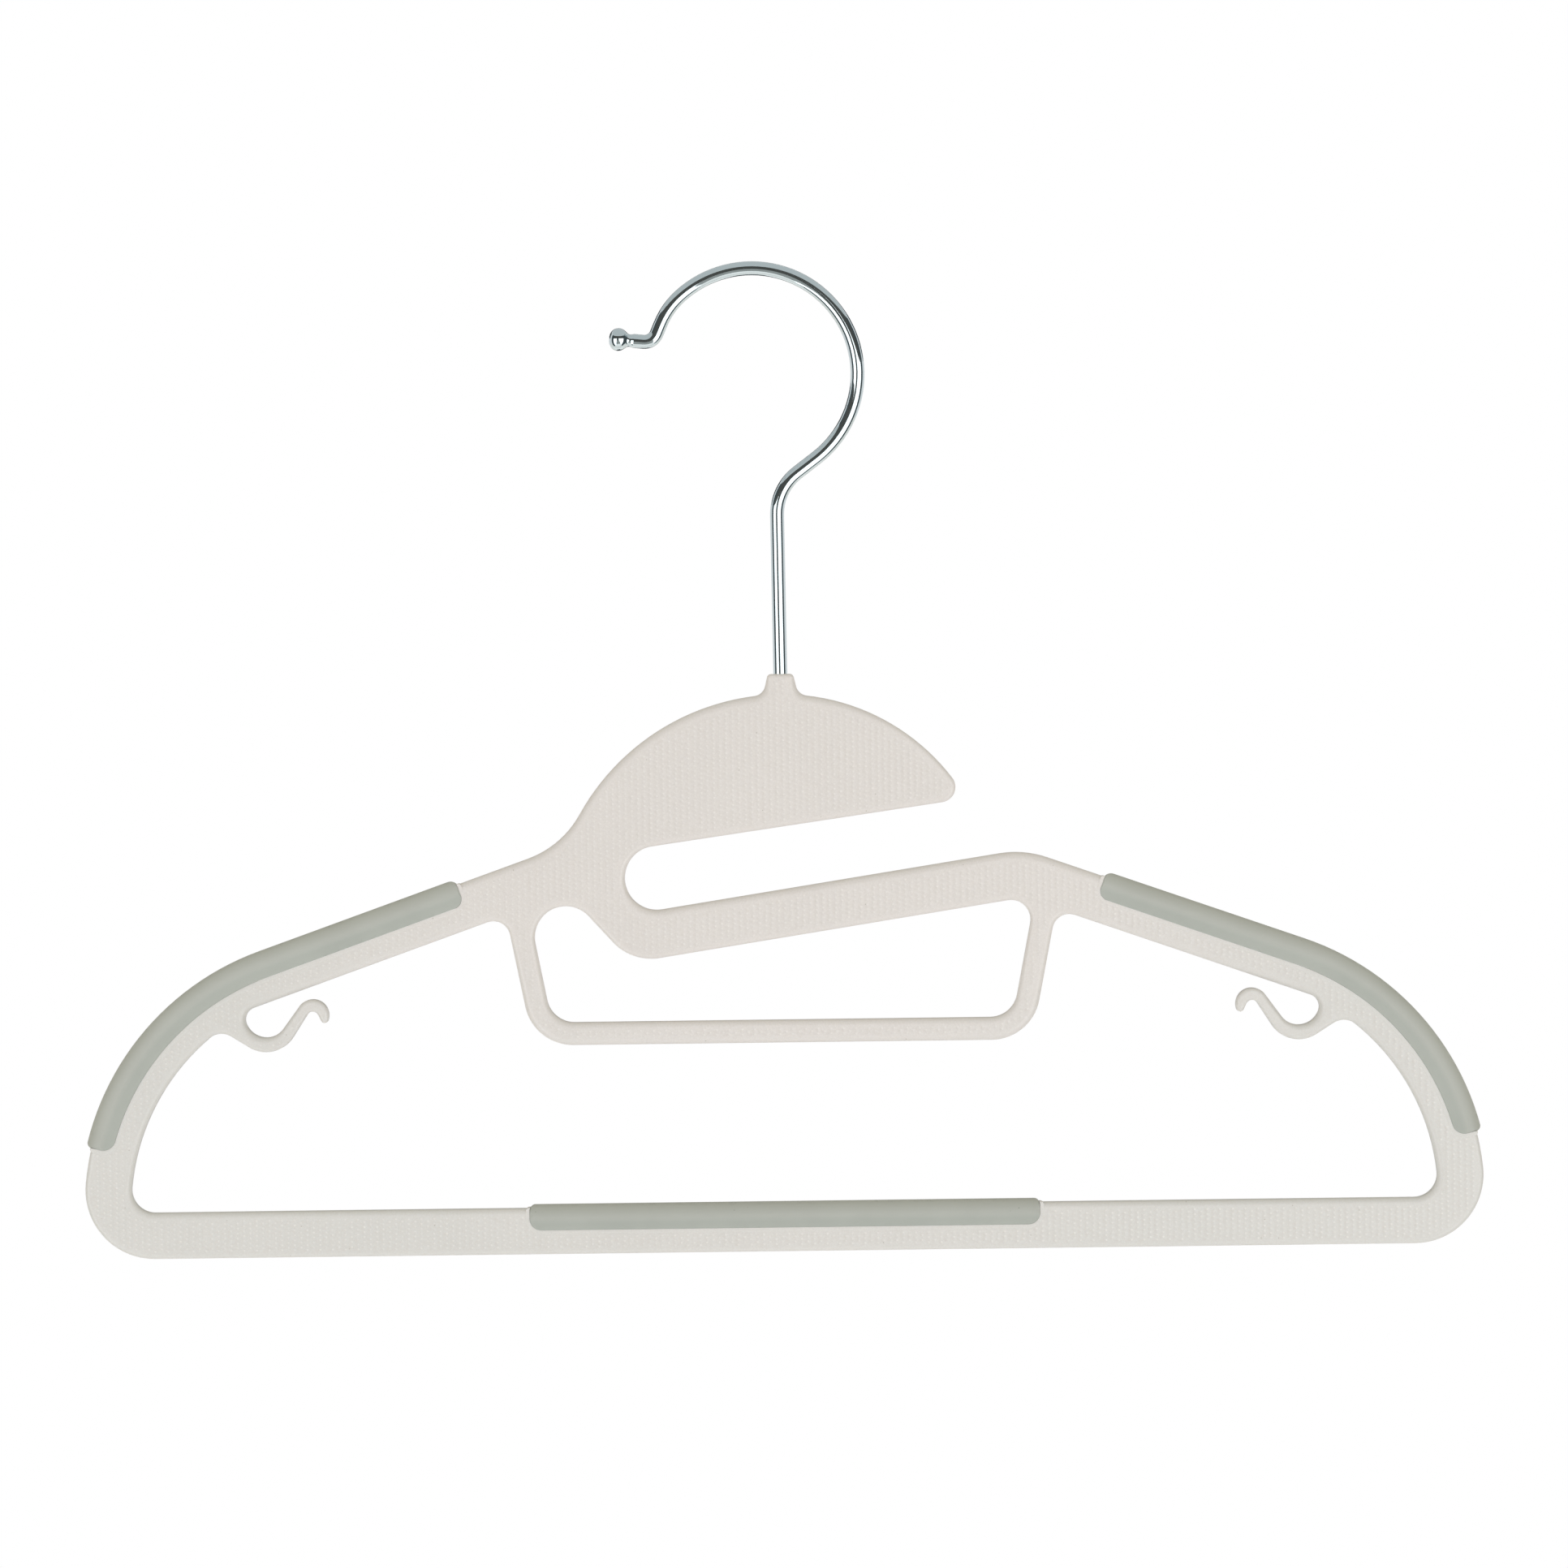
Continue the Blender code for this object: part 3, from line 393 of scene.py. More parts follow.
def outside():
    """The frame's outer edge, counter-clockwise from the middle of the bar."""
    right_dome = Ring((NECK_OFFSET, DOME_TOP - DOME_RIGHT_RADIUS), DOME_RIGHT_RADIUS)
    left_dome = Ring((-NECK_OFFSET, DOME_TOP - DOME_LEFT_RADIUS), DOME_LEFT_RADIUS)
    lip = meet(right_dome, SLOT_UPPER, (DOME_RIGHT_RADIUS, DOME_TOP))
    foot = meet(left_dome, SHOULDER, (DOME_LEFT_RADIUS, DOME_TOP - DOME_LEFT_RADIUS / 2))
    slot_joins = [
        Fillet(ARM_CREST_RADIUS, PANEL_EDGE_RADIUS, meet(SHOULDER, SLOT_LOWER)),
        Touch(PANEL_EDGE_RADIUS),
        Touch(LOWER_EDGE_RADIUS),
        Fillet(DOME_LIP_RADIUS, LOWER_EDGE_RADIUS, lip),
    ]
    right = half_outside(NECK_OFFSET, right_dome, [SLOT_LOWER, SLOT_END, SLOT_UPPER], slot_joins)
    left_joins = [Fillet(-DOME_FOOT_RADIUS, PANEL_EDGE_RADIUS, foot)]
    return whole(right, half_outside(-NECK_OFFSET, left_dome, [], left_joins))


print(f"outside: {len(outside())} points")

# %% [markdown]
# ## The two openings
# The large opening over the bar also draws the outside of the loop and both strap hooks, so one
# chain of edges gives all of them. Only half of it is written, because it is the same on both
# sides.

# %% Large opening
OPENING_EDGE_RADIUS = 1.4 * MM
LOOP_WIDTH = 5.2 * MM
LOOP_DROP = 79.15 * MM
LOOP_BASE_HALF_WIDTH = 52.8 * MM
LOOP_LEAN = 11.2
LOOP_OUTER_RADIUS = 11.15 * MM
LOOP_FOOT_RADIUS = 3.9 * MM
LOOP_BASE_EDGE_RADIUS = 1.5 * MM
LOOP_LEG_EDGE_RADIUS = 1.1 * MM
VALLEY_OUT = 2.25 * MM
VALLEY_DOWN = 3.7 * MM
VALLEY_RADIUS = 4.9 * MM
VALLEY_END_RADIUS = 2.8 * MM
VALLEY_BELLY_RADIUS = 7.25 * MM
VALLEY_BELLY_DOWN = 1.0 * MM
CROWN_REACH = 10.65 * MM
CROWN_RADIUS = 3.7 * MM
CROWN_NOTCH_RADIUS = 1.5 * MM
CROWN_NOTCH_DOWN = 0.6 * MM
TIP_RADIUS = 0.85 * MM
TIP_ANGLE = 198.0
STRAP_EDGE_RADIUS = 0.8 * MM
STRAP_EYE_EDGE_RADIUS = 1.1 * MM
STRAP_ROOT_RADIUS = 4.3 * MM
STRAP_ROOT_REACH = 13.15 * MM


def main_opening():
    """The opening over the bar, with the loop's outside and both strap hooks."""
    inner = SHOULDER_RADIUS - RAIL_WIDTH
    bend_x, bend_z = polar(SHOULDER_CENTRE, inner, 90.0 - SHOULDER_ANGLE)
    valley = (bend_x + VALLEY_OUT, bend_z - VALLEY_DOWN)
    belly = (valley[0], valley[1] - VALLEY_BELLY_DOWN)
    crown = (valley[0] - CROWN_REACH, valley[1])
    notch = (crown[0], crown[1] - CROWN_NOTCH_DOWN)
    root = meet(
        Ring(SHOULDER_CENTRE, inner - STRAP_ROOT_RADIUS),
        Ring(valley, STRAP_ROOT_REACH),
        (valley[0] + STRAP_ROOT_REACH, valley[1]),
    )
    base = Line((0.0, BOSS_TOP - LOOP_DROP - LOOP_WIDTH), 0.0)
    lean = Line((LOOP_BASE_HALF_WIDTH, BOSS_TOP - LOOP_DROP), 90.0 - LOOP_LEAN)
    half = trace(
        [
            base,
            lean.beside(-LOOP_WIDTH),
            SHOULDER_UNDER,
            Ring(valley, -VALLEY_RADIUS),
            Ring(crown, CROWN_RADIUS),
            Ring(polar(crown, CROWN_RADIUS - TIP_RADIUS, TIP_ANGLE), TIP_RADIUS),
            Ring(notch, -CROWN_NOTCH_RADIUS),
            Ring(belly, VALLEY_BELLY_RADIUS),
            Ring(root, -STRAP_ROOT_RADIUS),
            Ring(SHOULDER_CENTRE, -inner),
            Ring(CORNER_CENTRE, -(CORNER_RADIUS - RAIL_WIDTH)),
            BAR_TOP,
        ],
        [
            Fillet(LOOP_OUTER_RADIUS, LOOP_BASE_EDGE_RADIUS),
            Fillet(-LOOP_FOOT_RADIUS, LOOP_LEG_EDGE_RADIUS),
            Fillet(-VALLEY_END_RADIUS, PANEL_EDGE_RADIUS, (valley[0] + VALLEY_RADIUS, valley[1])),
            Span(STRAP_EYE_EDGE_RADIUS),
            Touch(STRAP_EDGE_RADIUS),
            *[Span(STRAP_EDGE_RADIUS)] * 3,
            *[Touch(OPENING_EDGE_RADIUS)] * 3,
        ],
        start=base.point,
        end=BAR_TOP.point,
    )
    return whole(half)


frame_outlines = [outside(), main_opening()]
print(f"large opening: {len(frame_outlines[1])} points")

# %% [markdown]
# The loop's inside isn't the same on both sides. Its top left corner follows the wall round the
# slot's end, and its top right one is tighter, so all five of its edges are written.

# %% Inside of the loop
SLOT_WALL = 10.05 * MM
SLOT_WALL_ANGLE = 47.7
SLOT_WALL_CORNER_RADIUS = 12.0 * MM
LOOP_LEFT_RADIUS = 7.15 * MM
LOOP_RIGHT_RADIUS = 4.5 * MM
LOOP_INNER_RADIUS = 6.3 * MM


def loop_opening():
    """The loop's inside, clockwise from the underside of the arm."""
    level = BOSS_TOP - LOOP_DROP
    wall_point = polar(SLOT_CENTRE, SLOT_RADIUS + SLOT_WALL, -90.0 - SLOT_WALL_ANGLE)
    return trace(
        [
            ARM_UNDER,
            Line((LOOP_BASE_HALF_WIDTH, level), -90.0 - LOOP_LEAN),
            Line((0.0, level), 180.0),
            Line((-LOOP_BASE_HALF_WIDTH, level), 90.0 + LOOP_LEAN),
            Line(wall_point, -SLOT_WALL_ANGLE),
        ],
        [
            Fillet(-LOOP_RIGHT_RADIUS, LOOP_LEG_EDGE_RADIUS),
            *[Fillet(-LOOP_INNER_RADIUS, LOOP_BASE_EDGE_RADIUS)] * 2,
            Fillet(-LOOP_LEFT_RADIUS, LOOP_LEG_EDGE_RADIUS),
            Fillet(SLOT_WALL_CORNER_RADIUS, LOWER_EDGE_RADIUS),
        ],
    )


frame_outlines.append(loop_opening())
print(f"inside of the loop: {len(frame_outlines[2])} points")

# %% [markdown]
# ## The grips' outlines
# Each grip is a band that follows the rail's edge, stands a little proud of it and reaches 5 mm
# down its faces. The same function draws the grips, the flat lands where the grips' mould shuts
# against the frame, and the thin tongues of the frame that stay inside the grips: they differ only
# in how proud, how deep and how long they are.

# %% Bands along the shoulders and the bar
GRIP_UPPER_PLACE = 74.1 * MM
GRIP_LOWER_SETBACK = 8.3 * MM
BAR_GRIP_HALF_WIDTH = 58.4 * MM
to_corner = subtract(CORNER_CENTRE, SHOULDER_CENTRE)
shoulder_end = degrees(atan2(to_corner[1], to_corner[0]))
GRIP_LOWER_ANGLE = shoulder_end + degrees(GRIP_LOWER_SETBACK / SHOULDER_RADIUS)


def bands(proud, bar_proud, reach, radii, grow=0.0, past=0.0, edge=0.0):
    """Bands along the right shoulder, the left shoulder and the bar's top edge.

    Each runs from proud of the rail's outer edge to reach inside it, and past its usual ends. Grow
    widens it on every side.
    """
    upper_outer, upper_inner, lower_outer, lower_inner, bar_upper, bar_lower = [r + grow for r in radii]
    upper = GRIP_UPPER_PLACE - past
    upper_point = (upper - grow, SHOULDER.point[1] - upper * tan(radians(SHOULDER_ANGLE)))
    lower_angle = GRIP_LOWER_ANGLE - degrees(past / SHOULDER_RADIUS)
    right = trace(
        [
            Line(SHOULDER_CENTRE, lower_angle).beside(-grow),
            Ring(SHOULDER_CENTRE, SHOULDER_RADIUS + proud + grow),
            SHOULDER.beside(-proud - grow),
            Line(upper_point, 270.0 - SHOULDER_ANGLE),
            Line(SHOULDER.beside(reach + grow).point, -SHOULDER_ANGLE),
            Ring(SHOULDER_CENTRE, -(SHOULDER_RADIUS - reach - grow)),
        ],
        [
            Fillet(lower_outer, edge, polar(SHOULDER_CENTRE, SHOULDER_RADIUS + proud, lower_angle)),
            Touch(edge),
            Fillet(upper_outer, edge),
            Fillet(upper_inner, edge),
            Touch(edge),
            Fillet(lower_inner, edge, polar(SHOULDER_CENTRE, SHOULDER_RADIUS - reach, lower_angle)),
        ],
    )
    low = Line(BAR_TOP.beside(reach + grow).point, 0.0)
    bar_end = Line((BAR_GRIP_HALF_WIDTH + past + grow, 0.0), 90.0)
    top = BAR_TOP.beside(-bar_proud - grow)
    bar_joins = [Fillet(bar_lower, edge), Fillet(bar_upper, edge)]
    bar = whole(trace([low, bar_end, top], bar_joins, start=low.point, end=top.point))
    return right, mirrored(right), bar


print(f"shoulder grip ends {GRIP_LOWER_ANGLE:.1f} degrees about the shoulder's centre")

# %% [markdown]
# Now each kind of band gets its sizes. The corner radii are an outer and an inner one, first for the
# shoulder's upper end, then for its lower end, and last for the bar.

# %% Outlines of grips, lands and tongues
GRIP_PROUD = 1.3 * MM
BAR_GRIP_PROUD = 0.9 * MM
GRIP_REACH = 5.0 * MM
GRIP_CORNER_RADII = [radius * MM for radius in (1.9, 2.3, 1.3, 2.9, 1.4, 2.7)]
OVERRUN = 3.0 * MM
LAND_WIDTH = 0.95 * MM
LAND_PROUD = 0.2 * MM
LAND_CORNER_RADIUS = 0.8 * MM
LAND_EDGE_RADIUS = 0.25 * MM


def grip_outlines(grow=0.0):
    return bands(GRIP_PROUD, BAR_GRIP_PROUD, GRIP_REACH, GRIP_CORNER_RADII, grow)


def land_outlines():
    proud = LAND_PROUD - LAND_WIDTH
    radii = list(GRIP_CORNER_RADII)
    radii[::2] = [LAND_CORNER_RADIUS - LAND_WIDTH] * 3
    return bands(proud, proud, GRIP_REACH, radii, LAND_WIDTH, edge=LAND_EDGE_RADIUS)


def tongue_outlines(setback):
    """The parts of the rails that stay inside the grips, running on past both of their ends."""
    return bands(-setback, -setback, RAIL_WIDTH - OVERRUN / 2, [OVERRUN / 2] * 6, past=2 * OVERRUN)


print("points of the grips' outlines:", [len(outline) for outline in grip_outlines()])

# %% [markdown]
# ## The moulded texture
# The real faces carry a regular texture of tiny raised pimples, which the mould's maker cut in
# staggered columns. A bump map could fake it, but then it would vanish from the mesh, so each
# pimple is made: a low six-sided mound. It stops short of the rounded edges and of the grips. To
# know which places of the lattice are free, each one's distance to every outline is measured.

# %% Places of the pimples
COLUMN_PITCH = 1.45 * MM
ROW_PITCH = 1.13 * MM
PIMPLE_WIDTH = 0.7 * MM
PIMPLE_LENGTH = 0.66 * MM
PIMPLE_EDGE_MARGIN = 0.1 * MM
PIMPLE_GRIP_MARGIN = 1.05 * MM


def places(outline):
    return [point for point, _, _ in outline]


def sides(loop):
    """Each point of a closed loop with the one after it."""
    return list(zip(loop, loop[1:] + loop[:1]))


def clearance(points, walls, edges=None):
    """How far each of an array of points lies from straight walls, or from where their edges are flat."""
    least = np.full(len(points), np.inf)
    for (start, end), edge in zip(walls, edges or [0.0] * len(walls)):
        run = np.subtract(end, start)
        share = np.clip((points - start) @ run / (run @ run), 0.0, 1.0)
        gap = points - start - share[:, None] * run
        least = np.minimum(least, np.hypot(gap[:, 0], gap[:, 1]) - edge)
    return least


def within(points, loop):
    """Which of the points lie inside a loop: a ray to the right crosses it an odd number of times."""
    crossings = np.zeros(len(points), int)
    for (x0, z0), (x1, z1) in sides(loop):
        if z0 != z1:
            spans = (points[:, 1] < z0) != (points[:, 1] < z1)
            crossing = x0 + (points[:, 1] - z0) * (x1 - x0) / (z1 - z0)
            crossings += spans & (points[:, 0] < crossing)
    return crossings % 2 == 1


def pimple_places():
    """The free places of the staggered lattice."""
    columns = np.arange(-HALF_WIDTH, HALF_WIDTH, COLUMN_PITCH)
    rows = np.arange(FRAME_BOTTOM, BOSS_TOP, ROW_PITCH)
    shift = np.arange(len(columns)) % 2 * ROW_PITCH / 2
    lattice = np.stack(np.broadcast_arrays(columns[:, None], rows[None, :] + shift[:, None]), axis=2)
    points = lattice.reshape(-1, 2)
    for outline in frame_outlines:
        loop = places(outline)
        points = points[within(points, loop) == (outline is frame_outlines[0])]
        edges = [edge + PIMPLE_LENGTH / 2 for _, _, edge in outline]
        points = points[clearance(points, sides(loop), edges) > PIMPLE_EDGE_MARGIN]
    for loop in map(places, grip_outlines()):
        points = points[(clearance(points, sides(loop)) > PIMPLE_GRIP_MARGIN) & ~within(points, loop)]
    return points


pimples = pimple_places()
print(f"{len(pimples)} pimples on each face")

# %% [markdown]
# ## Filling a flat face
# The face between three outlines has to be cut into triangles that also pass through the pimples.
# A single many-sided face with holes isn't possible, and filling it by hand is hopeless. A
# constrained Delaunay triangulation does it: it takes the outlines as edges that have to stay,
# and joins all other points into the best-shaped triangles.

# %% Triangles over a face
ALL_TRIANGLES = 0
MERGE_DISTANCE = 1e-5
PIMPLE_SIDES = 6
PIMPLE_HEIGHT = 0.12 * MM


def fill(loops, inner=()):
    """Triangles between closed loops of points, the first of them outside, through the inner points."""
    points = [Vector(p) / MM for loop in loops for p in loop] + [Vector(p) / MM for p in inner]
    edges = []
    for loop in loops:
        base = len(edges)
        edges += [(base + i, base + (i + 1) % len(loop)) for i in range(len(loop))]
    made = delaunay_2d_cdt(points, edges, [], ALL_TRIANGLES, MERGE_DISTANCE)
    origin = np.array([olds[0] for olds in made[3]])
    triangles = origin[np.array(made[2])]
    centres = np.array(points)[triangles].mean(axis=1) * MM
    kept = within(centres, loops[0])
    for opening in loops[1:]:
        kept &= ~within(centres, opening)
    return triangles[kept].tolist()


def pimple_points():
    """Each pimple's foot points and its top, as (x, z, rise above the face)."""
    points = []
    for x, z in pimples:
        for i in range(PIMPLE_SIDES):
            angle = 2 * pi * (i + 0.5) / PIMPLE_SIDES
            points.append((x + PIMPLE_WIDTH / 2 * cos(angle), z + PIMPLE_LENGTH / 2 * sin(angle), 0.0))
        points.append((x, z, PIMPLE_HEIGHT))
    return points


print(f"each pimple is {PIMPLE_WIDTH / MM:.2f} mm wide and {PIMPLE_HEIGHT / MM:.2f} mm high")

# %% [markdown]
# ## From points to pieces
# Each piece is a mesh that is made from a list of points and a list of faces. Typed faces can look
# either way, so one function turns them all outward, shades them smooth and makes the object. Where
# points are laid in rings, another function lists the faces between one ring and the next.

# %% New meshes
def mesh_object(name, vertices, faces, weld=False):
    """An object of a new mesh with outward normals. Welding joins points that coincide."""
    mesh = bpy.data.meshes.new(name)
    mesh.from_pydata(vertices, [], faces)
    work = bmesh.new()
    work.from_mesh(mesh)
    if weld:
        bmesh.ops.remove_doubles(work, verts=work.verts, dist=MERGE_DISTANCE * MM)
    bmesh.ops.recalc_face_normals(work, faces=work.faces)
    work.to_mesh(mesh)
    work.free()
    mesh.shade_smooth()
    thing = bpy.data.objects.new(name, mesh)
    bpy.context.scene.collection.objects.link(thing)
    return thing


def tube_faces(base, levels, count):
    """The faces between rings of points that follow each other in the list of vertices."""
    faces = []
    for start in range(base, base + (levels - 1) * count, count):
        for a, b in sides(list(range(start, start + count))):
            faces.append((a, b, b + count, a + count))
    return faces


print("two rings of three points are joined by the faces", tube_faces(0, 2, 3))

# %% [markdown]
# ## A flat body with rounded edges
# The frame could be extruded and beveled, but a bevel can't change its radius along the outline.
# Here the edge is full along the tops, smaller along the undersides and the loop, and fine at the
# strap hooks. So rings of points are laid round each outline, from the front face over the rounded
# edge to the back face. One more ring just inside each face keeps the face's shading flat right up
# to where the rounding starts.

# %% Plates
PANEL_HALF = 3.0 * MM
EDGE_STEPS = 8
HOLD_SHARE = 0.05


def rings_of(rounded):
    """How far in and how far down each ring lies, as shares of the edge radius, and on which side."""
    if not rounded:
        return [(0.0, 0.0, -1), (0.0, 0.0, 1)]
    turns = [i * pi / 2 / EDGE_STEPS for i in range(EDGE_STEPS + 1)]
    front = [(1.0 + HOLD_SHARE, 0.0, -1)] + [(1 - sin(t), cos(t) - 1, -1) for t in turns]
    return front + [(inset, rise, 1) for inset, rise, _ in reversed(front)]


def plate(name, bodies, half, rounded=True, inner=()):
    """Flat bodies between y = -half and y = half. Each is a list of outlines: outside, then openings."""
    rings = rings_of(rounded)
    vertices = []
    faces = []
    for outlines in bodies:
        loops = []
        front = []
        back = []
        for outline in outlines:
            count = len(outline)
            base = len(vertices)
            for inset, rise, side in rings:
                for (x, z), (nx, nz), edge in outline:
                    across = inset * edge
                    vertices.append((x - nx * across, side * (half + rise * edge), z - nz * across))
            faces += tube_faces(base, len(rings), count)
            loops.append([(x, z) for x, _, z in vertices[base : base + count]])
            front += range(base, base + count)
            back += range(len(vertices) - count, len(vertices))
        triangles = fill(loops, [(x, z) for x, z, _ in inner])
        for indices, side in ((front, -1), (back, 1)):
            indices += range(len(vertices), len(vertices) + len(inner))
            vertices += [(x, side * (half + rise), z) for x, z, rise in inner]
            faces += [tuple(indices[i] for i in triangle) for triangle in triangles]
    return mesh_object(name, [(x - NECK_OFFSET, y, z) for x, y, z in vertices], faces)


panel = plate("hanger_frame_skin", [frame_outlines], PANEL_HALF, inner=pimple_points())
print(f"panel: {len(panel.data.vertices)} vertices, {len(panel.data.polygons)} faces")

# %% [markdown]
# ## Cutting with solids
# The grips' seats, the tongues and the bore in the neck are cut with Boolean operations, as a
# designer would. Each cutter is a plate or a turned shape. The result is applied at once, and the
# cutters are removed, so that only real pieces are left in the file. The grips are moulded over the
# frame, so they lie tight against it, but a hair's breadth is left between the meshes, too little to
# see, because faces that coincide flicker in a render.

# %% Booleans
CONTACT_GAP = 0.02 * MM
LAND_FACE_PROUD = 0.06 * MM
TONGUE_HALF = 1.6 * MM
TONGUE_SETBACK = 1.2 * MM


def combine(thing, other, operation):
    """Joins another solid to thing, or cuts it away, and removes the other."""
    boolean = thing.modifiers.new(other.name, "BOOLEAN")
    boolean.operation = operation
    boolean.object = other
    boolean.solver = "MANIFOLD"
    graph = bpy.context.evaluated_depsgraph_get()
    made = bpy.data.meshes.new_from_object(thing.evaluated_get(graph))
    thing.modifiers.clear()
    thing.data = made
    bpy.data.objects.remove(other)


def plates(name, outlines, half, rounded=False):
    """One solid body for each outline."""
    return plate(name, [[outline] for outline in outlines], half, rounded)


recesses = plates("recesses", grip_outlines(CONTACT_GAP), PANEL_HALF + OVERRUN)
combine(recesses, plates("tongues", tongue_outlines(TONGUE_SETBACK), TONGUE_HALF), "DIFFERENCE")
combine(panel, plates("lands", land_outlines(), PANEL_HALF + LAND_FACE_PROUD, rounded=True), "UNION")
combine(panel, recesses, "DIFFERENCE")
print(f"after lands and recesses: {len(panel.data.polygons)} faces")

# %% [markdown]
# ## The bore in the neck
# The wire turns in a blind bore that narrows to a rib, which runs in the wire's groove and keeps
# the hook from coming out. Its mouth is the only part that shows, but the whole bore is turned
# from one profile, because a mesh with a false hole would be wrong. The wire is made later from
# the same kind of sections: a place, a direction and a radius.

# %% Bore
WIRE_RADIUS = 1.6 * MM
GROOVE_RADIUS = 1.0 * MM
BORE_CLEARANCE = 0.25 * MM
BORE_DEPTH = 17.0 * MM
GROOVE_DEPTH_IN_BORE = 9.0 * MM
GROOVE_HALF = 1.3 * MM
GROOVE_RAMP = 0.5 * MM
AXIAL_CLEARANCE = 0.35 * MM
ROUND_SIDES = 48
FACE_NORMAL = 0.99999
SHARP_ANGLE = 30.0


def turned(sections):
    """Rings of points round each section, and the faces between them and over the first one."""
    vertices = []
    for (x, z), (ux, uz), radius in sections:
        for i in range(ROUND_SIDES):
            angle = 2 * pi * i / ROUND_SIDES
            side = radius * cos(angle)
            vertices.append((x + uz * side, -radius * sin(angle), z - ux * side))
    return vertices, [*tube_faces(0, len(sections), ROUND_SIDES), tuple(range(ROUND_SIDES))]


def bore():
    """The bore as a solid of revolution about the swivel axis, to be cut away."""
    wide = WIRE_RADIUS + BORE_CLEARANCE
    rib = GROOVE_RADIUS + BORE_CLEARANCE
    middle = BOSS_TOP - GROOVE_DEPTH_IN_BORE
    half_rib = GROOVE_HALF - GROOVE_RAMP - AXIAL_CLEARANCE
    profile = [
        (BOSS_TOP + OVERRUN, wide),
        (middle + half_rib + GROOVE_RAMP, wide),
        (middle + half_rib, rib),
        (middle - half_rib, rib),
        (middle - half_rib - GROOVE_RAMP, wide),
        (BOSS_TOP - BORE_DEPTH, wide),
    ]
    vertices, faces = turned([((0.0, height), (0.0, 1.0), radius) for height, radius in profile])
    faces.append(tuple(range(len(vertices) - ROUND_SIDES, len(vertices))))
    return mesh_object("bore", vertices, faces)


def is_flat(polygon):
    """True for the triangles of the flat faces between the pimples."""
    return len(polygon.vertices) == 3 and abs(polygon.normal.y) > FACE_NORMAL


combine(panel, bore(), "DIFFERENCE")
panel.data.polygons.foreach_set("use_smooth", [not is_flat(polygon) for polygon in panel.data.polygons])
panel.data.set_sharp_from_angle(angle=radians(SHARP_ANGLE))
print(f"frame: {len(panel.data.polygons)} faces")

# %% [markdown]
# ## Marks for the pimples' painted highlight and shade
# The pimples are so low that light alone hardly shows them, so their tops get a painted highlight
# and the lower left corners of their feet a painted shade. A texture laid over the face would slip
# against the pimples, so each point of the mesh gets two numbers instead, worked out from its place
# in the lattice. The material reads them further down.

# %% Marks on the pimples
FOOT_TOLERANCE = 0.02


def mark(thing, name, value_at):
    """Stores a number at each point of a piece, worked out from the point's place, for its material."""
    attribute = thing.data.attributes.new(name, "FLOAT", "POINT")
    attribute.data.foreach_set("value", [value_at(vertex.co) for vertex in thing.data.vertices])


def pimple_light(place):
    """One at a pimple's top, and zero elsewhere."""
    return float(abs(place.y) > PANEL_HALF + (PIMPLE_HEIGHT + LAND_FACE_PROUD) / 2)


def painted_shade_spot_at(place):
    """One at the lower left corner of a pimple's foot, where a painted shade is laid."""
    along = place.x + NECK_OFFSET + HALF_WIDTH
    column = round(along / COLUMN_PITCH)
    across = along - column * COLUMN_PITCH
    up = place.z - FRAME_BOTTOM - column % 2 * ROW_PITCH / 2
    up = (up + ROW_PITCH / 2) % ROW_PITCH - ROW_PITCH / 2
    reach = hypot(2 * across / PIMPLE_WIDTH, 2 * up / PIMPLE_LENGTH)
    on_foot = abs(reach - 1) < FOOT_TOLERANCE and abs(place.y) < PANEL_HALF + PIMPLE_HEIGHT / 4
    return float(on_foot and across < -PIMPLE_WIDTH / 3 and up < -PIMPLE_LENGTH / 6)


# the tops carry a painted highlight, and the lower left feet a painted shade
mark(panel, "pimple", pimple_light)
mark(panel, "painted_shade_spot", painted_shade_spot_at)
print("marks on the frame:", [item.name for item in panel.data.attributes if item.data_type == "FLOAT"])

# %% [markdown]
# ## The soft grips
# A grip is a soft skin, moulded over the tongue. Across its width it is a full round bead along the
# rail's edge, then a slight step down to a flat band over the face. A bevel gives one radius only,
# so the section is written as a height: how far the surface lies from the middle of the panel, at
# each depth from the grip's outer edge. Round the other edges the height drops to a fine rim.

# %% Section of a grip
GRIP_HALF = 3.35 * MM
BEAD_WIDTH = 3.3 * MM
BEAD_POWER = 2.15
STEP_PLACE = 3.55 * MM
STEP_WIDTH = 0.6 * MM
STEP_DEPTH = 0.12 * MM
FLAT_ROW_STEP = 0.65 * MM
FLAT_ROWS = 4
RIM_RADIUS = 0.14 * MM
BEAD_STEPS = 12


def section_height(depth):
    """Height of a grip's surface over the panel's middle, at a depth from its outer edge."""
    if depth < BEAD_WIDTH:
        share = 1 - max(depth, 0.0) / BEAD_WIDTH
        return GRIP_HALF * (1 - share**BEAD_POWER) ** (1 / BEAD_POWER)
    step = (depth - STEP_PLACE) / STEP_WIDTH
    return GRIP_HALF - STEP_DEPTH * min(max(step, 0.0), 1.0)


def rim_drop(distance):
    """How far the rim's rounding lies under the surface, at a distance from the edge."""
    inside = max(RIM_RADIUS - distance, 0.0)
    return RIM_RADIUS - sqrt(RIM_RADIUS**2 - inside**2)


def section_depths():
    """The depths at which points are laid: close together where the section bends."""
    bead = [BEAD_WIDTH * (1 - cos(i * pi / 2 / BEAD_STEPS)) for i in range(1, BEAD_STEPS + 1)]
    flat = [STEP_PLACE + STEP_WIDTH + FLAT_ROW_STEP * i for i in range(FLAT_ROWS)]
    return bead + [STEP_PLACE] + flat


print("heights in mm at each depth:", [round(section_height(d) / MM, 2) for d in section_depths()])

# %% [markdown]
# The skin is laid as a net of points that follows the rail, filled with the same triangulation as
# the frame's face, once for the front and once for the back. The two halves meet where the bead
# is thinnest, and along the rim a narrow wall joins them. Points of the net that would come too
# close to the rim are left out.

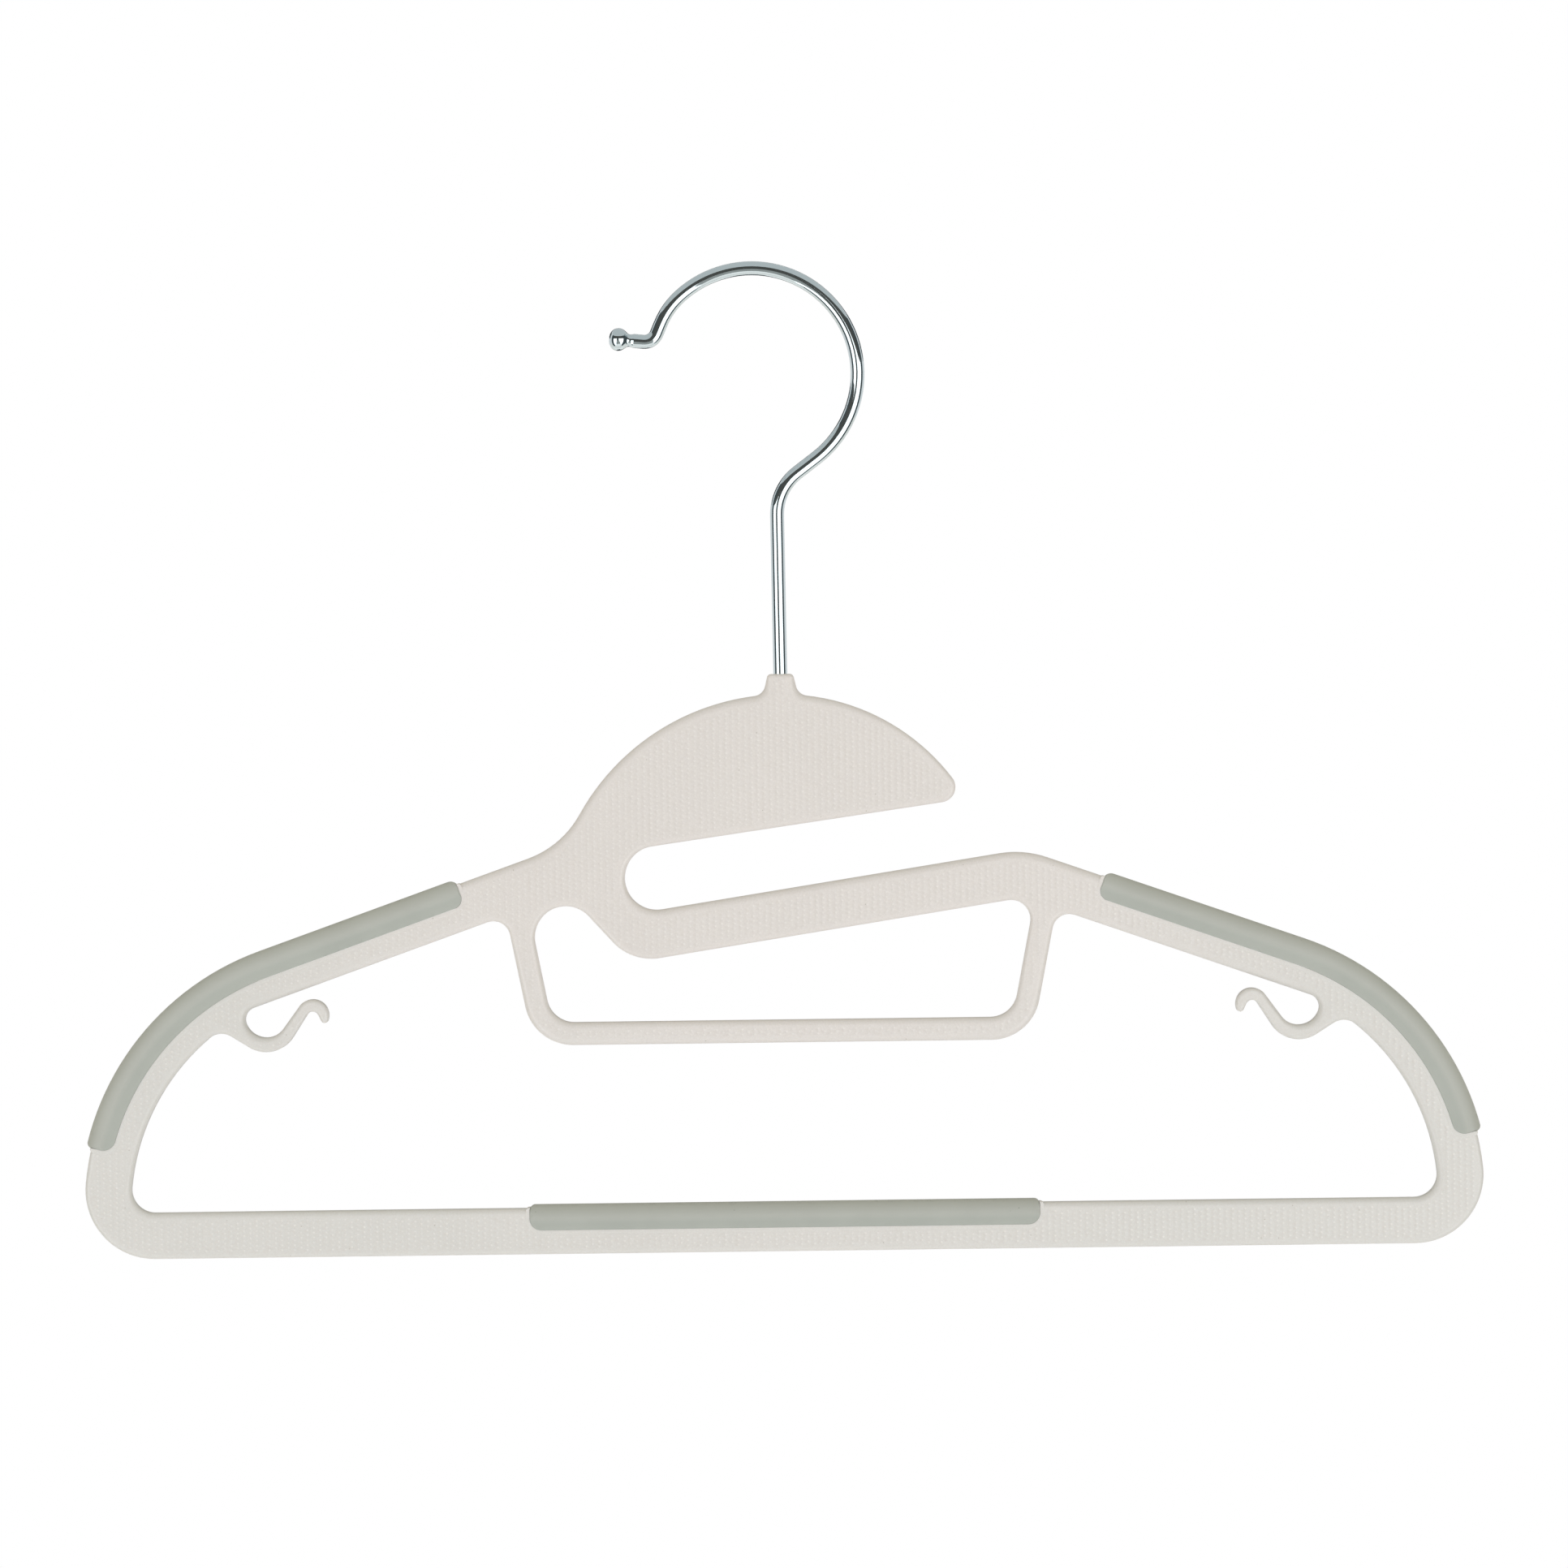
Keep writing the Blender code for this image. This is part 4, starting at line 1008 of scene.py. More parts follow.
# %% Skin of a grip
RIM_STEPS = 4
NET_MARGIN = 0.06 * MM


def skin(name, outline, net, depth_of):
    """A closed solid over an outline, as high at each point as the section says."""
    border = places(outline)
    rim = [depth_of(*point) > NET_MARGIN for point in border]
    walls = [side for side, on, still_on in zip(sides(border), rim, rim[1:] + rim[:1]) if on and still_on]
    rim_rows = []
    for step in range(1, RIM_STEPS + 1):
        distance = RIM_RADIUS * (1 - cos(step * pi / 2 / RIM_STEPS))
        rim_rows += [
            add(place, normal, -distance)
            for (place, normal, _), on_rim in zip(outline, rim)
            if on_rim and depth_of(*place) > distance
        ]
    net = np.array(net)
    net = net[within(net, border) & (clearance(net, sides(border)) > NET_MARGIN / 4)]
    net = net[clearance(net, walls) > RIM_RADIUS + NET_MARGIN]
    points = np.array(border + rim_rows + [tuple(p) for p in net])
    drops = [rim_drop(distance) for distance in clearance(points, walls)]
    heights = [max(section_height(depth_of(*p)) - drop, 0.0) for p, drop in zip(points, drops)]
    count = len(points)
    vertices = [(x - NECK_OFFSET, -height, z) for (x, z), height in zip(points, heights)]
    vertices += [(x, -y, z) for x, y, z in vertices]
    triangles = fill([border], points[len(border):])
    faces = triangles + [tuple(i + count for i in triangle) for triangle in triangles]
    faces += [(a, b, b + count, a + count) for a, b in sides(list(range(len(border))))]
    return mesh_object(name, vertices, faces, weld=True)


print(f"the rim is rounded in {RIM_STEPS} steps")

# %% [markdown]
# Two grips are laid in this way: one along the right shoulder, and one along the bar. Each brings
# its own rows of points and its own rule for depth, which on the shoulder is measured from the arc's
# centre or from the sloping edge, and on the bar straight down from its top.

# %% Grips of the right shoulder and the bar
NET_PITCH = 0.9 * MM


def shoulder_depth(x, z):
    """How deep a point lies inside the right shoulder grip's outer edge."""
    across, up = subtract((x, z), SHOULDER_CENTRE)
    if degrees(atan2(up, across)) < 90.0 - SHOULDER_ANGLE:
        return SHOULDER_RADIUS + GRIP_PROUD - hypot(across, up)
    return dot(subtract((x, z), SHOULDER.point), SHOULDER.left) + GRIP_PROUD


def bar_depth(x, z):
    return BAR_TOP.point[1] + BAR_GRIP_PROUD - z


def shoulder_net():
    """Points over the shoulder's band, in rows that follow the rail."""
    upper_angle = 90.0 - SHOULDER_ANGLE
    bend = SHOULDER.place(polar(SHOULDER_CENTRE, SHOULDER_RADIUS, upper_angle))
    step = degrees(NET_PITCH / SHOULDER_RADIUS)
    net = []
    for depth in section_depths():
        row = SHOULDER.beside(depth - GRIP_PROUD)
        radius = SHOULDER_RADIUS + GRIP_PROUD - depth
        net += [polar(SHOULDER_CENTRE, radius, angle) for angle in np.arange(0.0, upper_angle, step)]
        net += [add(row.point, row.along, place) for place in np.arange(bend, 0.0, NET_PITCH)]
    return net


def bar_net():
    top = BAR_TOP.point[1] + BAR_GRIP_PROUD
    columns = np.arange(-BAR_GRIP_HALF_WIDTH, BAR_GRIP_HALF_WIDTH, NET_PITCH)
    return [(x, top - depth) for depth in section_depths() for x in columns]


right_outline, _, bar_outline = grip_outlines()
right_grip = skin("right_shoulder_grip_skin", right_outline, shoulder_net(), shoulder_depth)
bar_grip = skin("trouser_bar_grip_skin", bar_outline, bar_net(), bar_depth)
print(f"shoulder grip: {len(right_grip.data.polygons)} faces, bar grip: {len(bar_grip.data.polygons)}")

# %% [markdown]
# The channel for the tongue is cut out of each grip, as in the real one, so that its mesh is a skin
# and not a solid bar. Each point is also marked with how deep it lies, for the rubber's tone. The
# left grip is the right one mirrored: the mesh is copied, its X turned round about the frame's own
# middle, and its faces flipped so that they still point outward.

# %% Channels, and the left grip
right_tongue, _, bar_tongue = tongue_outlines(TONGUE_SETBACK - CONTACT_GAP)
for grip, tongue, depth_of in (
    (right_grip, right_tongue, shoulder_depth),
    (bar_grip, bar_tongue, bar_depth),
):
    combine(grip, plates("channel", [tongue], TONGUE_HALF + CONTACT_GAP), "DIFFERENCE")
    mark(grip, "across", lambda p: depth_of(p.x + NECK_OFFSET, p.z) / (GRIP_REACH + GRIP_PROUD))
left_grip = bpy.data.objects.new("left_shoulder_grip_skin", right_grip.data.copy())
to_left = Matrix.Translation((-2 * NECK_OFFSET, 0.0, 0.0)) @ Matrix.Scale(-1, 4, (1, 0, 0))
left_grip.data.transform(to_left)
left_grip.data.flip_normals()
bpy.context.scene.collection.objects.link(left_grip)
for grip in (left_grip, right_grip, bar_grip):
    grip.data.set_sharp_from_angle(angle=radians(SHARP_ANGLE))
    print(f"{grip.name}: {len(grip.data.polygons)} faces")

# %% [markdown]
# ## The wire hook
# The hook is one bent wire. Its centre line is a chain of lines and arcs like the outlines, so the
# same kernel draws it: a shank, a riser, a large arc that hangs on the rail, and a lip that turns
# up into the tip. A curve with a round bevel would make the wire too, but not the groove in the
# shank nor the ball at the tip, so rings of points with their own radii are laid along the line.

# %% Route of the wire
HOOK_INSIDE_RADIUS = 22.65 * MM
CROWN_OFFSET = 5.7 * MM
SHANK_BEND_RADIUS = 12.0 * MM
RISER_ANGLE = 37.0
LIP_RADIUS = 18.0 * MM
LIP_START_ANGLE = 132.0
LIP_END_ANGLE = 157.0
LIP_DROP = 4.56 * MM
TIP_BEND_RADIUS = 3.0 * MM
TIP_RUN = 7.95 * MM
TIP_RISE = 6.0
BALL_RADIUS = 2.6 * MM
SHANK_LEAN = 0.45
SHANK = Line((0.0, BOSS_TOP), 90.0 + SHANK_LEAN)


def wire_route():
    """The wire's centre line above the boss, as places with their directions, and the ball's centre."""
    centre = (-CROWN_OFFSET, -sqrt(HOOK_INSIDE_RADIUS**2 - CROWN_OFFSET**2))
    radius = HOOK_INSIDE_RADIUS + WIRE_RADIUS
    lip = Ring(polar(centre, radius - LIP_RADIUS, LIP_START_ANGLE), LIP_RADIUS)
    riser = Line(polar(centre, radius, RISER_ANGLE - 90.0), RISER_ANGLE)
    drop = Line(polar(lip.centre, LIP_RADIUS, LIP_END_ANGLE), LIP_END_ANGLE + 90.0)
    tip = Line(add(drop.point, drop.along, LIP_DROP), 180.0 - TIP_RISE)
    points = trace(
        [SHANK, riser, Ring(centre, radius), lip, drop, tip],
        [Fillet(-SHANK_BEND_RADIUS), Touch(), Touch(), Touch(), Fillet(-TIP_BEND_RADIUS)],
        start=SHANK.point,
        end=add(tip.point, tip.along, TIP_RUN - 2 * BALL_RADIUS),
    )
    route = [(place, (-normal[1], normal[0])) for place, normal, _ in points]
    return route, add(tip.point, tip.along, TIP_RUN)


route, ball_centre = wire_route()
wire_length = sum(dist(b[0], a[0]) for a, b in zip(route, route[1:]))
print(f"the wire above the boss is {wire_length / MM:.0f} mm long")

# %% [markdown]
# The tip is upset to a ball: the wire's end is squeezed in a die until it swells. Its outline is a
# short list of shares of the ball's radius, and a smooth curve through them gives the fine rings.

# %% Wire with groove and ball
WIRE_END_CHAMFER = 0.5 * MM
FINE_STEPS = 5
BALL_SHARES = [
    (-1.35, 0.615),
    (-1.15, 0.56),
    (-0.95, 0.55),
    (-0.78, 0.61),
    (-0.62, 0.74),
    (-0.46, 0.86),
    (-0.25, 0.96),
    (0.0, 1.0),
    (0.25, 0.96),
    (0.46, 0.86),
    (0.64, 0.68),
    (0.76, 0.46),
    (0.82, 0.22),
    (0.835, 0.0),
]


def smooth_through(points, steps):
    """Points on a smooth curve through all the given ones."""
    padded = np.array([points[0], *points, points[-1]])
    made = []
    for a, b, c, d in zip(padded, padded[1:], padded[2:], padded[3:]):
        for i in range(steps):
            t = i / steps
            bend = (2 * a - 5 * b + 4 * c - d) * t**2 + (3 * b - a - 3 * c + d) * t**3
            made.append((2 * b + (c - a) * t + bend) / 2)
    return made


def shank_sections():
    """Place along the shank and radius down in the bore, from the wire's end to its groove's top."""
    end = AXIAL_CLEARANCE - BORE_DEPTH
    middle = -GROOVE_DEPTH_IN_BORE
    return [
        (end, WIRE_RADIUS - WIRE_END_CHAMFER),
        (end + WIRE_END_CHAMFER, WIRE_RADIUS),
        (middle - GROOVE_HALF, WIRE_RADIUS),
        (middle - GROOVE_HALF + GROOVE_RAMP, GROOVE_RADIUS),
        (middle + GROOVE_HALF - GROOVE_RAMP, GROOVE_RADIUS),
        (middle + GROOVE_HALF, WIRE_RADIUS),
    ]


def make_hook():
    sections = [(add(SHANK.point, SHANK.along, up), SHANK.along, radius) for up, radius in shank_sections()]
    sections += [(place, along, WIRE_RADIUS) for place, along in route]
    out = route[-1][1]
    for reach, size in smooth_through(BALL_SHARES, FINE_STEPS):
        sections.append((add(ball_centre, out, reach * BALL_RADIUS), out, size * BALL_RADIUS))
    vertices, faces = turned(sections)
    pole = len(vertices)
    faces += [(a, b, pole) for a, b in sides(list(range(pole - ROUND_SIDES, pole)))]
    x, z = add(ball_centre, out, BALL_SHARES[-1][0] * BALL_RADIUS)
    return mesh_object("swivel_hook_wire", [*vertices, (x, 0.0, z)], faces)


hook = make_hook()
hook.data.set_sharp_from_angle(angle=radians(SHARP_ANGLE))
print(f"hook: {len(hook.data.polygons)} faces")

# %% [markdown]
# ## Helpers for materials
# Colours are written the way that designers quote them, as sRGB hex. Shaders calculate in linear
# light, so one function converts. Another adds a shader node with its settings, and links it to the
# nodes that feed it.

# %% Colours and nodes
SRGB_STEP = 0.04045
MIX_A = 6
MIX_B = 7
MIX_RESULT = 2


def linear(hex_colour):
    """An sRGB hex colour as linear red, green, blue and alpha."""
    channels = [int(hex_colour[i : i + 2], 16) / 255 for i in (1, 3, 5)]
    values = [c / 12.92 if c <= SRGB_STEP else ((c + 0.055) / 1.055) ** 2.4 for c in channels]
    return (*values, 1.0)


def new_material(name):
    """An empty material, and its node tree."""
    material = bpy.data.materials.new(name)
    material.use_nodes = True
    material.node_tree.nodes.clear()
    return material, material.node_tree


def node(tree, kind, inputs=None, **settings):
    """Adds a node. An input takes a value, or the output of another node that is linked to it."""
    made = tree.nodes.new(kind)
    for name, value in settings.items():
        setattr(made, name, value)
    for key, value in (inputs or {}).items():
        if isinstance(value, bpy.types.NodeSocket):
            tree.links.new(value, made.inputs[key])
        else:
            made.inputs[key].default_value = value
    return made


print("the frame's warm grey is", [round(c, 3) for c in linear("#DFDAD4")], "in linear light")

# %% [markdown]
# ## How a finish is built up
# All three finishes are made in the same steps, so they share them. First come the fields, numbers
# that vary over the piece: noises, whose scale follows from the real size of their grain, and the
# marks on the mesh. Then some fields are drawn to a range. Each range names its source, the span
# that it reads and the span that it gives, whose upper end may be another field. At last tones are
# laid over the base colour, each as strongly as its field says, and the shader takes the result.

# %% Steps of a finish
def begin_finish(name, noises, marks=()):
    """A new material with its fields: noises, each as name, size, detail and roughness, and marks."""
    material, tree = new_material(name)
    place = node(tree, "ShaderNodeTexCoord").outputs["Object"]
    fields = {"place": place}
    for field, size, detail, roughness in noises:
        inputs = {"Vector": place, "Scale": 1 / size, "Detail": detail, "Roughness": roughness}
        fields[field] = node(tree, "ShaderNodeTexNoise", inputs).outputs["Fac"]
    for field in marks:
        fields[field] = node(tree, "ShaderNodeAttribute", attribute_name=field).outputs["Fac"]
    return material, tree, fields


def end_finish(tree, fields, ranges, base, tones, relief, looks):
    """Draws fields to ranges, lays tones over the base, and adds the shader with its relief and looks."""
    for field, source, low, high, least, most in ranges:
        inputs = {"Value": fields[source], "From Min": low, "From Max": high}
        inputs |= {"To Min": least, "To Max": fields.get(most, most)}
        fields[field] = node(tree, "ShaderNodeMapRange", inputs).outputs["Result"]
    colour = linear(base)
    for field, tone in tones:
        inputs = {"Factor": fields[field], MIX_A: colour, MIX_B: linear(tone)}
        colour = node(tree, "ShaderNodeMix", inputs, data_type="RGBA").outputs[MIX_RESULT]
    field, strength, depth = relief
    bump = node(tree, "ShaderNodeBump", {"Height": fields[field], "Strength": strength, "Distance": depth})
    inputs = {"Base Color": colour, "Roughness": fields["gloss"], "Normal": bump.outputs["Normal"], **looks}
    shader = node(tree, "ShaderNodeBsdfPrincipled", inputs)
    node(tree, "ShaderNodeOutputMaterial", {"Surface": shader.outputs["BSDF"]})


print("a finish: fields, ranges, tones and a shader")

# %% [markdown]
# ## Moulded polypropylene
# Hangers are moulded in polypropylene. It has a waxy, half-matt skin that lets a little light in,
# so its shadows are soft. Where the melt flowed and cooled at different speeds the tone drifts
# slightly over a centimetre or so. It is also painted greyer the further a point lies from the neck:
# a painted shade for light that falls off towards the bar. The pimples' tops get a painted
# highlight, and the lower left corners of their feet a painted shade, both stronger in random patches.
# The mould is spark-eroded, which leaves a fine grain, finer than a pixel: it is drawn at 0.35 mm
# so that it shows at all. A few dark specks are dust in the melt.

# %% Frame material
FLOW_SIZE = 14.0 * MM
# size of the random patches in which the pimples' painted highlight and shade vary
PIMPLE_PATCH_SIZE = 1.3 * MM
SPARK_GRAIN = 0.35 * MM
SPARK_DEPTH = 0.02 * MM
# where the painted shade towards the bar begins, and where it is full
FALLOFF_SHADE_START = 80.0 * MM
FALLOFF_SHADE_END = 150.0 * MM
SPECK_SPACING = 4.0 * MM
SPECK_RANGE = ("speck", "specks", 0.02, 0.045, 1.0, 0.0)


def moulded_polypropylene():
    noises = [
        ("flow", FLOW_SIZE, 2.0, 0.55),
        ("pimple_patches", PIMPLE_PATCH_SIZE, 1.0, 0.5),
        ("grain", SPARK_GRAIN, 3.0, 0.6),
    ]
    material, tree, fields = begin_finish("moulded_polypropylene", noises, ("pimple", "painted_shade_spot"))
    # distance from the neck, which drives the painted shade towards the bar
    run = {0: fields["place"], 1: (0.0, 0.0, BOSS_TOP)}
    fields["run"] = node(tree, "ShaderNodeVectorMath", run, operation="DISTANCE").outputs["Value"]
    specks = {"Vector": fields["place"], "Scale": 1 / SPECK_SPACING}
    fields["specks"] = node(tree, "ShaderNodeTexVoronoi", specks).outputs["Distance"]
    ranges = [
        # painted shade: greyer the further from the neck, for light that falls off towards the bar
        ("painted_falloff_shade", "run", FALLOFF_SHADE_START, FALLOFF_SHADE_END, 0.0, 1.0),
        ("drift", "flow", 0.3, 0.7, 0.0, 0.05),
        SPECK_RANGE,
        # painted highlight on the pimples' tops and painted shade at their lower left feet, in random
        # strength
        ("pimple_light_strength", "pimple_patches", 0.35, 0.65, 0.2, 0.45),
        ("painted_pimple_highlight", "pimple", 0.05, 0.5, 0.0, "pimple_light_strength"),
        ("painted_pimple_shade", "painted_shade_spot", 0.0, 1.0, 0.0, "pimple_light_strength"),
        ("mottle", "grain", 0.35, 0.65, 0.0, 0.24),
        ("gloss", "flow", 0.3, 0.7, 0.4, 0.5),
    ]
    tones = [
        # painted shade towards the bar
        ("painted_falloff_shade", "#D6D5CF"),
        ("drift", "#E8E4DC"),
        ("speck", "#B3ADA2"),
        # a painted highlight on the pimples' tops, then a painted shade beside them
        ("painted_pimple_highlight", "#F4F1EB"),
        ("painted_pimple_shade", "#D0CAC2"),
        ("mottle", "#C3BCB3"),
    ]
    looks = {
        "IOR": 1.49,
        "Subsurface Weight": 0.12,
        "Subsurface Radius": (1.0, 0.9, 0.75),
        "Subsurface Scale": 1.2 * MM,
    }
    end_finish(tree, fields, ranges, "#DFDAD4", tones, ("grain", 0.35, SPARK_DEPTH), looks)
    return material


plastic = moulded_polypropylene()
print(plastic.name, "has", len(plastic.node_tree.nodes), "nodes")

# %% [markdown]
# ## Overmoulded soft rubber
# The grips are a thermoplastic rubber in a grey sage green, shot over the plastic in a second
# mould. Rubber scatters light in its skin and has only a broad, weak highlight. The flat band is a
# little greyer than the bead beside it, which hands rub. The tone drifts in pale clouds. The bar
# grip is painted a touch darker towards the bottom, a painted shade for light that falls off there.
# The grain is coarser than the plastic's, and handling leaves dark specks.

# %% Grip material
CLOUD_SIZE = 9.0 * MM
RUBBER_GRAIN = 0.5 * MM
RUBBER_DEPTH = 0.03 * MM
# where the bar grip's painted shade begins, and where it is full
BAR_SHADE_TOP = -190.0 * MM
BAR_SHADE_FOOT = -208.0 * MM


def overmoulded_rubber():
    noises = [("clouds", CLOUD_SIZE, 2.0, 0.5), ("grain", RUBBER_GRAIN, 3.0, 0.65)]
    material, tree, fields = begin_finish("overmoulded_rubber", noises, ("across",))
    height = node(tree, "ShaderNodeSeparateXYZ", {"Vector": fields["place"]})
    fields["height"] = height.outputs["Z"]
    specks = {"Vector": fields["place"], "Scale": 1 / SPECK_SPACING}
    fields["specks"] = node(tree, "ShaderNodeTexVoronoi", specks).outputs["Distance"]
    ranges = [
        ("bead", "across", 0.0, 0.45, 0.0, 1.0),
        ("band", "across", 0.5, 0.68, 0.0, 1.0),
        ("cloud", "clouds", 0.3, 0.7, 0.0, 0.2),
        # painted shade: the bar grip darker towards the bottom, for light that falls off there
        ("bar", "height", BAR_SHADE_TOP, BAR_SHADE_FOOT, 0.0, 0.12),
        SPECK_RANGE,
        ("gloss", "grain", 0.3, 0.7, 0.58, 0.72),
    ]
    tones = [
        ("bead", "#AEB0A7"),
        ("band", "#A6AAA1"),
        ("cloud", "#BCBFB5"),
        # painted shade on the bar grip
        ("bar", "#8C9189"),
        ("speck", "#868A7E"),
    ]
    looks = {"IOR": 1.5, "Sheen Weight": 0.05, "Sheen Roughness": 0.5}
    end_finish(tree, fields, ranges, "#AFB1A6", tones, ("grain", 0.4, RUBBER_DEPTH), looks)
    return material


rubber = overmoulded_rubber()
print(rubber.name, "has", len(rubber.node_tree.nodes), "nodes")

# %% [markdown]
# ## Chrome on steel wire
# The hook is steel wire, plated with nickel and a thin layer of chromium. Chrome mirrors the room
# with a cool tint, and almost all that the eye sees of it is reflection. Drawing and bending the
# wire leave it very slightly wavy, which keeps the reflected edges from being ruler-straight.

# %% Hook material
WAVE_SIZE = 5.0 * MM
WAVE_DEPTH = 0.02 * MM
HAZE_SIZE = 1.5 * MM


def chromed_steel():
    noises = [("wave", WAVE_SIZE, 1.0, 0.4), ("haze", HAZE_SIZE, 3.0, 0.6)]
    material, tree, fields = begin_finish("chromed_steel", noises)
    ranges = [("gloss", "haze", 0.3, 0.7, 0.045, 0.085)]
    end_finish(tree, fields, ranges, "#C2CCCF", [], ("wave", 0.5, WAVE_DEPTH), {"Metallic": 1.0})
    return material


chrome = chromed_steel()
print(chrome.name, "has", len(chrome.node_tree.nodes), "nodes")

# %% [markdown]
# ## Pieces on their bodies
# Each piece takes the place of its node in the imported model, moves with that node's body, and says
# which finish it takes. The hook rides on its own body, so it swivels in the neck.

# %% Ride, replace and paint
PIECES = [
    (panel, "hanger_frame", "hanger", "frame_plastic", plastic),
    (left_grip, "left_shoulder_grip", "hanger", "grip_rubber", rubber),
    (right_grip, "right_shoulder_grip", "hanger", "grip_rubber", rubber),
    (bar_grip, "trouser_bar_grip", "hanger", "grip_rubber", rubber),
    (hook, "swivel_hook", "hook", "hook_chrome", chrome),
]
for piece, cad_node, body, finish, material in PIECES:
    piece.data.materials.clear()
    piece.data.materials.append(material)
    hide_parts(cad_node)
    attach(piece, body)
    print(f"{piece.name} rides on {body} and stands for {cad_node}")

# %% [markdown]
# ## Floor and background
# The hanger hangs in front of pure white, with a pale floor well below it. A white room as bright
# as that would wash the object out. So what the camera sees, directly or in a reflection, is white,
# while the light that falls on the object comes from a dimmer world. The floor is lit in the same
# way: it gets a little extra towards the camera only, and still shows the object's soft shadow.

# %% World and floor
FLOOR_LEVEL = -1.7
FLOOR_HALF = 4.5
FLOOR_TONE = "#F4F3F0"
FLOOR_LIFT = 0.4
ROOM_LIGHT = 0.71
ROOM_TINT = "#FFFCF3"
WHITE = "#FFFFFF"


def seen_directly(tree):
    """One where the camera sees a surface, also in a mirror or through glass, and zero for other light."""
    path = node(tree, "ShaderNodeLightPath").outputs
    seen = path["Is Camera Ray"]
    for ray in ("Is Glossy Ray", "Is Transmission Ray"):
        both = node(tree, "ShaderNodeMath", {0: seen, 1: path[ray]}, operation="ADD", use_clamp=True)
        seen = both.outputs["Value"]
    return seen


def make_world():
    world = bpy.data.worlds.new("white_studio")
    world.use_nodes = True
    tree = world.node_tree
    tree.nodes.clear()
    light = node(tree, "ShaderNodeBackground", {"Color": linear(ROOM_TINT), "Strength": ROOM_LIGHT})
    white = node(tree, "ShaderNodeBackground", {"Color": linear(WHITE), "Strength": 1.0})
    inputs = {0: seen_directly(tree), 1: light.outputs["Background"], 2: white.outputs["Background"]}
    both = node(tree, "ShaderNodeMixShader", inputs)
    node(tree, "ShaderNodeOutputWorld", {"Surface": both.outputs["Shader"]})
    bpy.context.scene.world = world


def make_floor():
    corners = [(-1, -1), (1, -1), (1, 1), (-1, 1)]
    vertices = [(x * FLOOR_HALF, y * FLOOR_HALF, FLOOR_LEVEL) for x, y in corners]
    floor = mesh_object("floor", vertices, [(0, 1, 2, 3)])
    material, tree = new_material("pale_floor")
    lift = node(tree, "ShaderNodeMath", {0: seen_directly(tree), 1: FLOOR_LIFT}, operation="MULTIPLY")
    paint = node(tree, "ShaderNodeBsdfDiffuse", {"Color": linear(FLOOR_TONE)})
    glow = node(tree, "ShaderNodeEmission", {"Color": linear(WHITE), "Strength": lift.outputs["Value"]})
    both = node(tree, "ShaderNodeAddShader", {0: paint.outputs["BSDF"], 1: glow.outputs["Emission"]})
    node(tree, "ShaderNodeOutputMaterial", {"Surface": both.outputs["Shader"]})
    floor.data.materials.append(material)
    floor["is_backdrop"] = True


make_world()
make_floor()
bpy.context.scene.view_settings.view_transform = "Standard"
print(f"the floor lies {-FLOOR_LEVEL:.1f} m below the rail")

# %% [markdown]
# ## Lamps
# The light is soft and comes mostly from the front and a little from below, so edges that face up
# are shaded and undersides are not. Two large area lamps stand low in front, one to each side, so
# that edges facing left and right are lit alike. Two more stand behind, because the hanger is
# looked at from all sides.

# %% Soft lamps
LAMP_DISTANCE = 2.2
LAMP_TURN = 25.0
LAMP_FALL = 21.0
LAMP_SIZE = (1.4, 0.8)
LAMP_POWER = 11.0
LAMP_TINT = "#E8EDFF"


def towards(azimuth, elevation):
    """The direction at an azimuth, from the front to the right, and an elevation, both in radians."""
    flat = cos(elevation)
    return Vector((flat * sin(azimuth), -flat * cos(azimuth), sin(elevation)))


def make_lamp(name, azimuth):
    """A soft box that stands low, at an azimuth from the front, and shines up at the frame."""
    lamp = bpy.data.lights.new(name, "AREA")
    lamp.shape = "RECTANGLE"
    lamp.size, lamp.size_y = LAMP_SIZE
    lamp.energy = LAMP_POWER
    lamp.color = linear(LAMP_TINT)[:3]
    thing = bpy.data.objects.new(name, lamp)
    aim = Vector((0.0, 0.0, (BOSS_TOP + FRAME_BOTTOM) / 2))
    thing.location = aim + LAMP_DISTANCE * towards(radians(azimuth), -radians(LAMP_FALL))
    thing.rotation_euler = (aim - thing.location).to_track_quat("-Z", "Y").to_euler()
    thing.visible_glossy = False
    bpy.context.scene.collection.objects.link(thing)


for name, azimuth in (("front", 0.0), ("back", 180.0)):
    for side, turn in (("left", -LAMP_TURN), ("right", LAMP_TURN)):
        make_lamp(f"{name}_{side}_lamp", azimuth + turn)
print(f"four lamps of {LAMP_POWER:.1f} W, {LAMP_DISTANCE:.1f} m away")

# %% [markdown]
# ## Cards for the chrome
# Chrome in a white room is white on white. A photographer sets white cards where the metal should
# shine and dark ones beside them, which draws the bands that make it read as a round wire. The
# cards stand on a sphere round the hook. They show in mirrors only: not to the camera, and they
# cast neither light nor shadow on the rest. Each has its four corners, from low left round to high
# left, as azimuth and elevation in degrees, then its colour and its strength.

